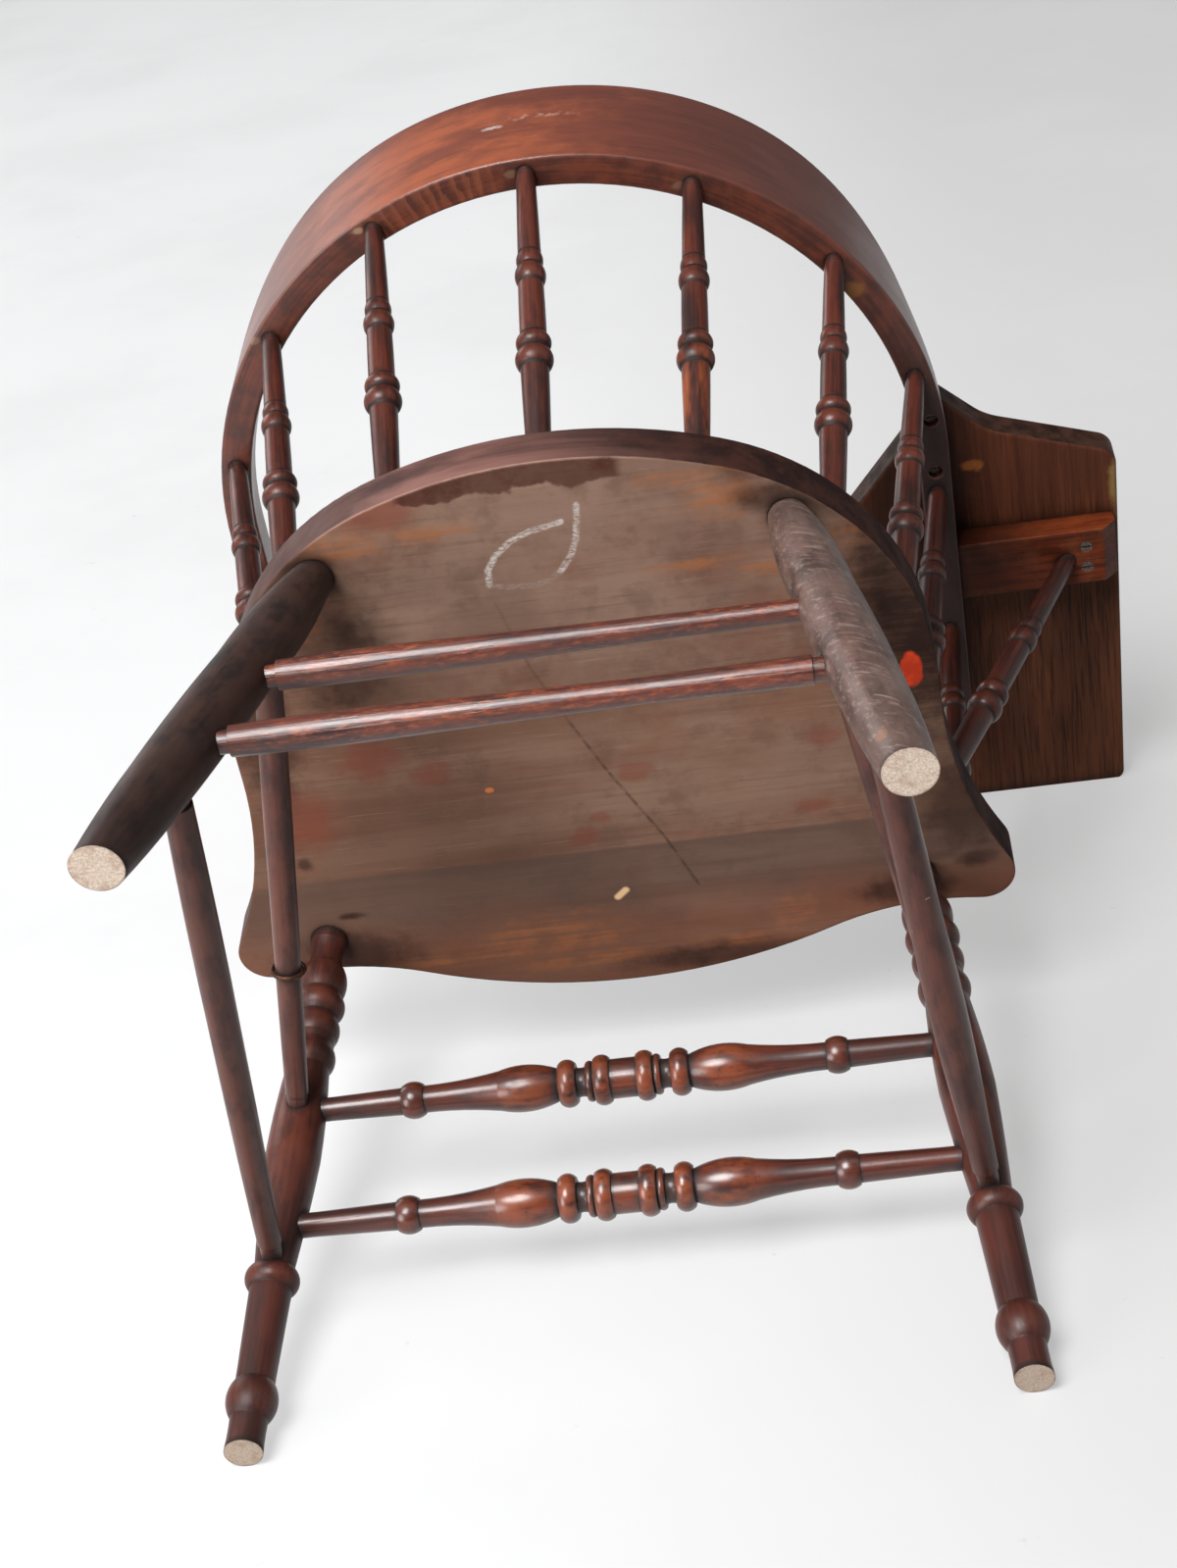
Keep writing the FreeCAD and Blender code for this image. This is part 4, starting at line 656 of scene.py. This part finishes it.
def rail_material():
    wood = Surface("rail_wood")
    x, y, z = wood.split(wood.scaled(wood.place, (1, 1, 1), tuple(-CHAIR_MIDDLE)))[:]
    behind = wood.math("MAXIMUM", y, 0.0)
    ahead = wood.math("MINIMUM", y, 0.0)
    turn = wood.math("ARCTAN2", behind, x)
    run = wood.math("ADD", wood.times(turn, RAIL_OUTER_RADIUS), wood.times(ahead, wood.math("SIGN", x)))
    radial = wood.vector("LENGTH", wood.join(x, behind, 0.0), output="Value")
    bent = wood.join(run, z, radial)
    grain = wood.noise(wood.scaled(bent, (14, 320, 320)), 1.0, 6.0, 0.66)
    bands = wood.noise(wood.scaled(bent, (4, 34, 34)), 1.0, 5.0, 0.60, 0.2)
    cloud = wood.noise(wood.scaled(bent, (11, 22, 22)), 1.0, 5.0, 0.62)
    mottle = wood.noise(wood.place, 60.0, 5.0, 0.65)
    fine = wood.noise(wood.place, 180.0, 4.0, 0.65)
    tone = wood.sum(grain, 0.45, bands, 0.55)
    colour = wood.blend(wood.span(tone, 0.36, 0.64), (0.085, 0.018, 0.010), (0.160, 0.036, 0.019))
    # the middle of the crest is rubbed orange
    rubbed = wood.patch(on_crest(0.085, 0.045), (0.120, 0.10, 0.060), 1.2, 0.5)
    rubbed = wood.times(rubbed, wood.span(cloud, 0.38, 0.60, 0.15, 0.85))
    colour = wood.blend(rubbed, colour, (0.345, 0.086, 0.032))
    height = wood.math("ADD", z, wood.times(cloud, 0.04))
    crown = wood.times(wood.span(height, rail_high.z - 0.025, rail_high.z + 0.020), 0.22)
    colour = wood.blend(crown, colour, (0.075, 0.022, 0.014))
    colour = wood.blend(wood.times(wood.span(cloud, 0.50, 0.66), 0.40), colour, (0.240, 0.058, 0.026))
    # painted shade towards the sitter's right
    colour = wood.blend(wood.times(wood.span(x, -0.02, -0.20), 0.55), colour, (0.060, 0.017, 0.012))
    colour = wood.blend(wood.times(wood.span(grain, 0.56, 0.68), 0.60), colour, (0.040, 0.012, 0.008))
    browner = wood.times(wood.span(x, 0.13, 0.22), wood.span(grain, 0.40, 0.60), 0.45)
    colour = wood.blend(browner, colour, (0.090, 0.030, 0.022))
    below = wood.underside()
    tone = wood.sum(mottle, 0.5, grain, 0.5)
    under = wood.blend(wood.span(tone, 0.40, 0.62), (0.050, 0.014, 0.009), (0.125, 0.030, 0.015))
    # marks that the plane left across the underside, on the sitter's left of the middle
    ripple = wood.waves(wood.join(run, wood.times(radial, 0.3), 0.0), 34.0, 5.0, 2.6)
    middle = RAIL_OUTER_RADIUS * math.pi / 2
    planed = wood.times(wood.span(run, middle - 0.135, middle - 0.115),
                        wood.span(run, middle - 0.012, middle - 0.035))
    under = wood.blend(wood.times(planed, wood.span(ripple, 0.30, 0.80), 0.40), under, (0.230, 0.066, 0.028))
    shaded_arm = wood.times(wood.span(x, -0.15, -0.20), wood.span(y, 0.14, 0.02), 0.85)
    under = wood.blend(shaded_arm, under, (0.010, 0.004, 0.003))
    colour = wood.blend(below, colour, under)
    colour = rail_small_marks(wood, colour, fine)
    edge = wood.times(wood.edge_wear(0.0028), wood.span(mottle, 0.32, 0.58))
    colour = wood.blend(wood.times(edge, 0.45), colour, (0.330, 0.120, 0.050))
    # grime and painted shade in the joints
    colour = wood.blend(wood.times(wood.crevice(0.008), 0.80), colour, GRIME_AND_SHADE)
    roughness = wood.span(cloud, 0.3, 0.7, 0.46, 0.34)
    shade = wood.times(below, shaded_arm)
    roughness = wood.math("ADD", roughness, wood.times(shade, 0.5), clamp=True)
    gloss = wood.times(wood.math("SUBTRACT", 1.0, shade), 0.30)
    ripples = wood.times(ripple, below, planed)
    wood.bumps((grain, 0.15, 0.0006), (mottle, 0.12, 0.0010), (ripples, 0.4, 0.0010), (fine, 0.10, 0.0003))
    return wood.finish(colour, roughness, specular=0.50, coat=gloss)


# Writing tablet: dark open-pored board with its grain from front to back

def tablet_material():
    wood = Surface("tablet_wood")
    warp = wood.noise(wood.scaled(wood.place, (14, 3.0, 14), (0.4, 0.2, 0)), 1.0, 3.0, 0.55)
    x, y, z = wood.split(wood.place)[:]
    flame = wood.join(wood.math("ADD", x, wood.times(warp, 0.060)), wood.times(y, 0.10), wood.times(z, 0.5))
    figure = wood.waves(flame, 62.0, 2.6, 3.0)
    arched = wood.patch(on_chair(-0.315, -0.190, tablet_low.z), (0.050, 0.060, 0.03), 1.2, 0.5)
    streak = wood.noise(wood.scaled(wood.place, (120, 6, 120)), 1.0, 4.0, 0.6, 0.5)
    pores = wood.noise(wood.scaled(wood.place, (560, 18, 560)), 1.0, 5.0, 0.65)
    broad = wood.noise(wood.scaled(wood.place, (20, 4, 20)), 1.0, 4.0, 0.6)
    mottle = wood.noise(wood.place, 60.0, 5.0, 0.65)
    fine = wood.noise(wood.place, 160.0, 4.0, 0.6)
    tone = wood.sum(streak, 0.5, broad, 0.5)
    colour = wood.blend(wood.span(tone, 0.38, 0.62), (0.052, 0.018, 0.009), (0.150, 0.048, 0.022))
    lines = wood.times(wood.span(figure, 0.45, 0.90), wood.math("ADD", wood.times(arched, 0.55), 0.15))
    colour = wood.blend(lines, colour, (0.012, 0.006, 0.004))
    colour = wood.blend(wood.times(wood.span(pores, 0.50, 0.62), 0.50), colour, (0.014, 0.006, 0.004))
    colour = wood.blend(wood.times(wood.span(pores, 0.42, 0.30), 0.45), colour, (0.150, 0.064, 0.034))
    # redder behind the batten, a bare orange spot beside the arm, yellow wear on the outer back corner
    behind = wood.times(wood.span(y, on_chair(0, -0.105, 0).y, on_chair(0, -0.060, 0).y), wood.underside())
    colour = wood.blend(wood.times(behind, 0.50), colour, (0.085, 0.024, 0.013))
    shaded = wood.patch(on_chair(-0.240, -0.080, tablet_low.z), (0.042, 0.150, 0.03), 0.6, 0.5)
    colour = wood.blend(wood.times(shaded, 0.75), colour, (0.012, 0.006, 0.004))
    paler = wood.patch(on_chair(-0.330, -0.240, tablet_low.z), (0.075, 0.120, 0.03), 0.8, 0.5)
    colour = wood.blend(wood.times(paler, wood.span(pores, 0.62, 0.48), 0.40), colour, (0.150, 0.056, 0.028))
    bare = wood.patch(on_chair(-0.283, -0.036, tablet_low.z), (0.007, 0.0045, 0.006), 2.6, 0.4)
    colour = wood.blend(wood.times(bare, 0.75), colour, (0.360, 0.120, 0.030))
    rub = wood.patch(on_chair(-0.389, -0.070, tablet_low.z + 0.006), (0.006, 0.022, 0.016), 1.6, 0.4)
    colour = wood.blend(wood.times(rub, 0.55), colour, (0.400, 0.260, 0.090))
    side_tone = wood.blend(wood.span(mottle, 0.40, 0.60), (0.008, 0.004, 0.003), (0.040, 0.018, 0.012))
    colour = wood.blend(wood.times(wood.sides(-0.85), 0.90), colour, side_tone)
    edge = wood.edge_wear(0.0030)
    colour = wood.blend(wood.times(edge, wood.span(mottle, 0.44, 0.62), 0.30), colour, (0.200, 0.100, 0.050))
    colour = wood.blend(wood.times(edge, wood.span(fine, 0.57, 0.64), 0.85), colour, (0.520, 0.360, 0.260))
    # grime and painted shade in the joints
    colour = wood.blend(wood.times(wood.crevice(0.012), 0.85), colour, GRIME_AND_SHADE)
    roughness = wood.span(mottle, 0.3, 0.7, 0.56, 0.42)
    wood.bumps((pores, 0.35, 0.0007), (mottle, 0.10, 0.0010), (fine, 0.10, 0.0003))
    return wood.finish(colour, roughness, specular=0.12)


def batten_material():
    wood = Surface("batten_wood")
    grain = wood.noise(wood.scaled(wood.place, (14, 260, 260)), 1.0, 6.0, 0.66)
    mottle = wood.noise(wood.place, 55.0, 5.0, 0.65)
    colour = wood.blend(wood.span(grain, 0.36, 0.64), (0.052, 0.011, 0.004), (0.155, 0.029, 0.009))
    colour = wood.blend(wood.times(wood.span(mottle, 0.48, 0.66), 0.40), colour, (0.200, 0.055, 0.018))
    # the back face is painted redder as lit, the part beside the arm has painted shade, and the outer end is
    # darker
    # painted light on the back face, which faces the lamps
    glow = wood.times(wood.span(wood.facing("Y"), 0.5, 0.9), wood.span(mottle, 0.30, 0.58))
    colour = wood.blend(wood.times(glow, 0.45), colour, (0.150, 0.026, 0.006))
    shaded = wood.patch(on_chair(-0.255, -0.105, tablet_low.z - 0.010), (0.070, 0.060, 0.06), 0.6, 0.5)
    colour = wood.blend(wood.times(shaded, 0.70), colour, (0.022, 0.008, 0.005))
    outer_end = wood.span(wood.facing("X"), -0.6, -0.9)
    colour = wood.blend(wood.times(outer_end, 0.85), colour, (0.040, 0.024, 0.020))
    edge = wood.times(wood.edge_wear(0.0022), wood.span(mottle, 0.35, 0.60))
    colour = wood.blend(wood.times(edge, 0.40), colour, (0.380, 0.130, 0.045))
    # grime and painted shade in the joints
    colour = wood.blend(wood.times(wood.crevice(0.008), 0.80), colour, GRIME_AND_SHADE)
    roughness = wood.span(mottle, 0.3, 0.7, 0.50, 0.38)
    wood.bumps((grain, 0.25, 0.0006), (mottle, 0.12, 0.0008))
    return wood.finish(colour, roughness, specular=0.14)


# Two tones of each metal
SCREW_STEEL = ((0.05, 0.04, 0.035), (0.20, 0.17, 0.15))
RUSTY_WIRE = ((0.035, 0.016, 0.012), (0.110, 0.050, 0.036))


def old_steel(name, dark, bright):
    metal = Surface(name)
    fine = metal.noise(metal.place, 900.0, 3.0, 0.6)
    rust = metal.noise(metal.place, 300.0, 4.0, 0.65)
    colour = metal.blend(metal.span(fine, 0.4, 0.65), dark, bright)
    colour = metal.blend(metal.times(metal.span(rust, 0.50, 0.66), 0.6), colour, (0.110, 0.045, 0.022))
    roughness = metal.span(fine, 0.3, 0.7, 0.62, 0.40)
    metal.bumps((fine, 0.2, 0.0003))
    return metal.finish(colour, roughness, metallic=0.9)


dress("seat", seat_material())
dress("arm_and_back_rail", rail_material())
dress("writing_tablet", tablet_material())
dress("tablet_batten", batten_material())
dress("arm_screws", old_steel("arm_screw_steel", *SCREW_STEEL))
dress("batten_screws", old_steel("batten_screw_steel", *SCREW_STEEL))
dress("wire_loop", old_steel("loop_wire_steel", *RUSTY_WIRE))


# Camera, at the photograph's viewing angle

CAMERA_PLACE = on_chair(-0.1878, 1.0193, -1.0515)
CAMERA_TARGET = on_chair(0.0048, -0.0677, 0.4)
CAMERA_ROLL = math.radians(1.22)
LENS_MM = 62.2

camera_data = bpy.data.cameras.new("photo_camera")
camera_data.lens = LENS_MM
camera = bpy.data.objects.new("photo_camera", camera_data)
bpy.context.scene.collection.objects.link(camera)
camera.location = CAMERA_PLACE
sight = (CAMERA_TARGET - CAMERA_PLACE).to_track_quat("-Z", "Y")
camera.rotation_mode = "QUATERNION"
camera.rotation_quaternion = sight @ Quaternion((0, 0, 1), CAMERA_ROLL)
bpy.context.scene.camera = camera


# Floors. The photograph's floor touches the front feet and the tablet's front edge. The floor that the chair
# stands on lies between it and the photograph's lamps, so no gloss mirrors it.

FLOOR_COLOUR = (0.80, 0.80, 0.81)
FLOOR_DIMMED = tuple(0.955 * share for share in FLOOR_COLOUR)
FLOOR_SPECK = (0.42, 0.38, 0.32)
FLOOR_LINT = (0.45, 0.42, 0.38)
FLOOR_GLOW = 0.65
FLOOR_HALF_SIZE = 30.0
FLOOR_GAP = 0.001
# The slanting floor's sides, as the photograph's frame cuts it: the reach on the chair's left and right beside
# the feet, and how it changes along the floor's own Y, which runs from the tablet towards the feet. Past its
# sides the floor fades out over a soft border.
LEFT_REACH = 0.42
LEFT_WIDENING = -0.235
RIGHT_REACH = 0.33
RIGHT_WIDENING = -0.155
BORDER_START = 0.06
BORDER_END = 0.50


def shown_part(floor):
    """1 where the photograph shows the slanting floor, fading out past its sides."""
    x, y = floor.split(floor.place)[:2]
    left_side = floor.math("ADD", floor.times(y, LEFT_WIDENING), LEFT_REACH)
    right_side = floor.math("ADD", floor.times(y, RIGHT_WIDENING), RIGHT_REACH)
    past_left = floor.math("SUBTRACT", x, left_side)
    past_right = floor.math("SUBTRACT", floor.times(x, -1.0), right_side)
    return floor.times(floor.span(past_left, BORDER_END, BORDER_START),
                       floor.span(past_right, BORDER_END, BORDER_START))


def floor_material(name, dim_side, bright_side, dim, bright, mirrored):
    """Pale floor that is only there from its upper side, to be looked at, so that it hides no lamp.

    It is dim up to dim_side, a distance along X, and bright from bright_side on. A mirrored floor also shows
    in gloss.
    """
    floor = Surface(name)
    rays = floor.node("LightPath").outputs
    seen = rays["Is Camera Ray"]
    if mirrored:
        looked_at = floor.times(seen, shown_part(floor))
        seen = floor.largest([looked_at, rays["Is Glossy Ray"], rays["Is Transmission Ray"]])
    smudge = floor.noise(floor.place, 2.5, 5.0, 0.6)
    speck = floor.noise(floor.place, 38.0, 3.0, 0.7)
    lint = floor.noise(floor.scaled(floor.place, (30, 160, 60)), 1.0, 2.0, 0.5, 1.5)
    tone = floor.blend(floor.span(smudge, 0.35, 0.65), FLOOR_DIMMED, FLOOR_COLOUR)
    # the floor is brightest towards the window, at the left of the photograph
    # painted light: the glow runs from dim at dim_side to bright at bright_side along X
    painted_light_share = floor.span(floor.split(floor.place)["X"], dim_side, bright_side)
    lifted = floor.blend(painted_light_share, dim, bright)
    lifted = floor.blend(floor.times(floor.span(smudge, 0.55, 0.35), 0.25), lifted, tone)
    specks = floor.times(floor.span(speck, 0.70, 0.76), 0.22)
    lifted = floor.blend(specks, lifted, FLOOR_SPECK)
    tone = floor.blend(specks, tone, FLOOR_SPECK)
    tone = floor.blend(floor.times(floor.span(lint, 0.76, 0.80), 0.18), tone, FLOOR_LINT)
    roughness = floor.span(smudge, 0.3, 0.7, 0.55, 0.70)
    floor.bumps((speck, 0.05, 0.001))
    pale = floor.node("BsdfPrincipled", {"Base Color": tone, "Roughness": roughness, "Normal": floor.normal,
                                         "Specular IOR Level": 0.2})
    glow = floor.node("Emission", {"Color": lifted, "Strength": 1.0})
    share = floor.times(seen, FLOOR_GLOW)
    upper_side = floor.node("MixShader", {0: share, 1: pale.outputs[0], 2: glow.outputs[0]})
    clear = floor.node("BsdfTransparent")
    unseen = floor.math("SUBTRACT", 1.0, seen)
    gone = floor.math("MAXIMUM", floor.node("NewGeometry").outputs["Backfacing"], unseen)
    choice = floor.node("MixShader", {0: gone, 1: upper_side.outputs[0], 2: clear.outputs[0]})
    floor.tree.links.new(choice.outputs[0], floor.output.inputs["Surface"])
    return floor.material


def floor_plane(name, centre, normal, material):
    mesh = bpy.data.meshes.new(name)
    half = FLOOR_HALF_SIZE
    corners = [(-half, -half, 0), (half, -half, 0), (half, half, 0), (-half, half, 0)]
    mesh.from_pydata(corners, [], [(0, 1, 2, 3)])
    plane = bpy.data.objects.new(name, mesh)
    plane.rotation_mode = "QUATERNION"
    plane.rotation_quaternion = Vector((0, 0, 1)).rotation_difference(normal)
    plane.location = centre
    mesh.materials.append(material)
    bpy.context.scene.collection.objects.link(plane)


foot_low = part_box("front_leg_left")[0]
lying_foot = Vector((CHAIR_MIDDLE.x, foot_low.y, 0))
lying_tablet = Vector((CHAIR_MIDDLE.x, tablet_low.y, tablet_high.z))
up_the_floor = (lying_tablet - lying_foot).normalized()
floor_normal = up_the_floor.cross(Vector((1, 0, 0))).normalized()
if floor_normal.y < 0:
    floor_normal.negate()
photo_pale = floor_material("photo_floor_pale", dim_side=-0.45, bright_side=0.30, dim=(0.62, 0.615, 0.61),
                            bright=(0.885, 0.89, 0.895), mirrored=True)
standing_pale = floor_material("standing_floor_pale", dim_side=-3.0, bright_side=2.0, dim=(0.90, 0.90, 0.90),
                               bright=(0.95, 0.95, 0.95), mirrored=False)
floor_plane("photo_floor", lying_foot, floor_normal, photo_pale)
floor_plane("standing_floor", Vector((0, 0, -FLOOR_GAP)), Vector((0, 0, 1)), standing_pale)


# Light: a wide soft lamp over the lying chair, a weaker one at the left of its picture, and two above the
# standing floor for the chair's left side and its front

LAMP_TARGET = on_chair(0, 0, 0.4)


def soft_lamp(name, place, width, watts):
    data = bpy.data.lights.new(name, "AREA")
    data.shape = "DISK"
    data.size = width
    data.energy = watts
    lamp = bpy.data.objects.new(name, data)
    lamp.location = place
    lamp.visible_camera = False
    lamp.rotation_mode = "QUATERNION"
    lamp.rotation_quaternion = (LAMP_TARGET - place).to_track_quat("-Z", "Y")
    bpy.context.scene.collection.objects.link(lamp)


soft_lamp("key_lamp", on_chair(1.245, 4.2, -1.311), width=2.7, watts=355)
soft_lamp("left_lamp", on_chair(2.4, 1.0, -1.9), width=2.0, watts=75)
soft_lamp("far_lamp", on_chair(2.6, 1.1, 3.2), width=2.0, watts=36)
soft_lamp("front_lamp", on_chair(1.0, -2.6, 2.6), width=2.0, watts=60)


# Studio round the scene: even weak light, and a pale wall that is there to be looked at and in reflections.
# The wall dims towards the ceiling and the ground.

WORLD_LIGHT = (0.98, 0.99, 1.0)
WORLD_STRENGTH = 0.17
WALL_COLOUR = (0.80, 0.81, 0.82)
CEILING_COLOUR = (0.17, 0.17, 0.17)
# steepness of the view, 1 straight up or down, at which the wall starts to dim and at which it is dimmest
WALL_EDGE = 0.28
WALL_END = 0.50


class Studio(Surface):
    """The same node helpers, for the world."""

    def __init__(self, world):
        world.use_nodes = True
        self.tree = world.node_tree
        self.tree.nodes.clear()
        self.output = self.tree.nodes.new("ShaderNodeOutputWorld")
        self.place = self.node("TexCoord").outputs["Generated"]


world = bpy.data.worlds.new("studio")
bpy.context.scene.world = world
studio = Studio(world)
steepness = studio.math("ABSOLUTE", studio.split(studio.place)["Z"])
wall = studio.blend(studio.span(steepness, WALL_EDGE, WALL_END), WALL_COLOUR, CEILING_COLOUR)
looked_at = studio.node("Background", {"Color": wall, "Strength": 1.0})
light = studio.node("Background", {"Color": (*WORLD_LIGHT, 1.0), "Strength": WORLD_STRENGTH})
rays = studio.node("LightPath").outputs
seen = studio.largest([rays["Is Camera Ray"], rays["Is Glossy Ray"], rays["Is Transmission Ray"]])
choice = studio.node("MixShader", {0: seen, 1: light.outputs[0], 2: looked_at.outputs[0]})
studio.tree.links.new(choice.outputs[0], studio.output.inputs["Surface"])

bpy.context.scene.view_settings.view_transform = "Standard"
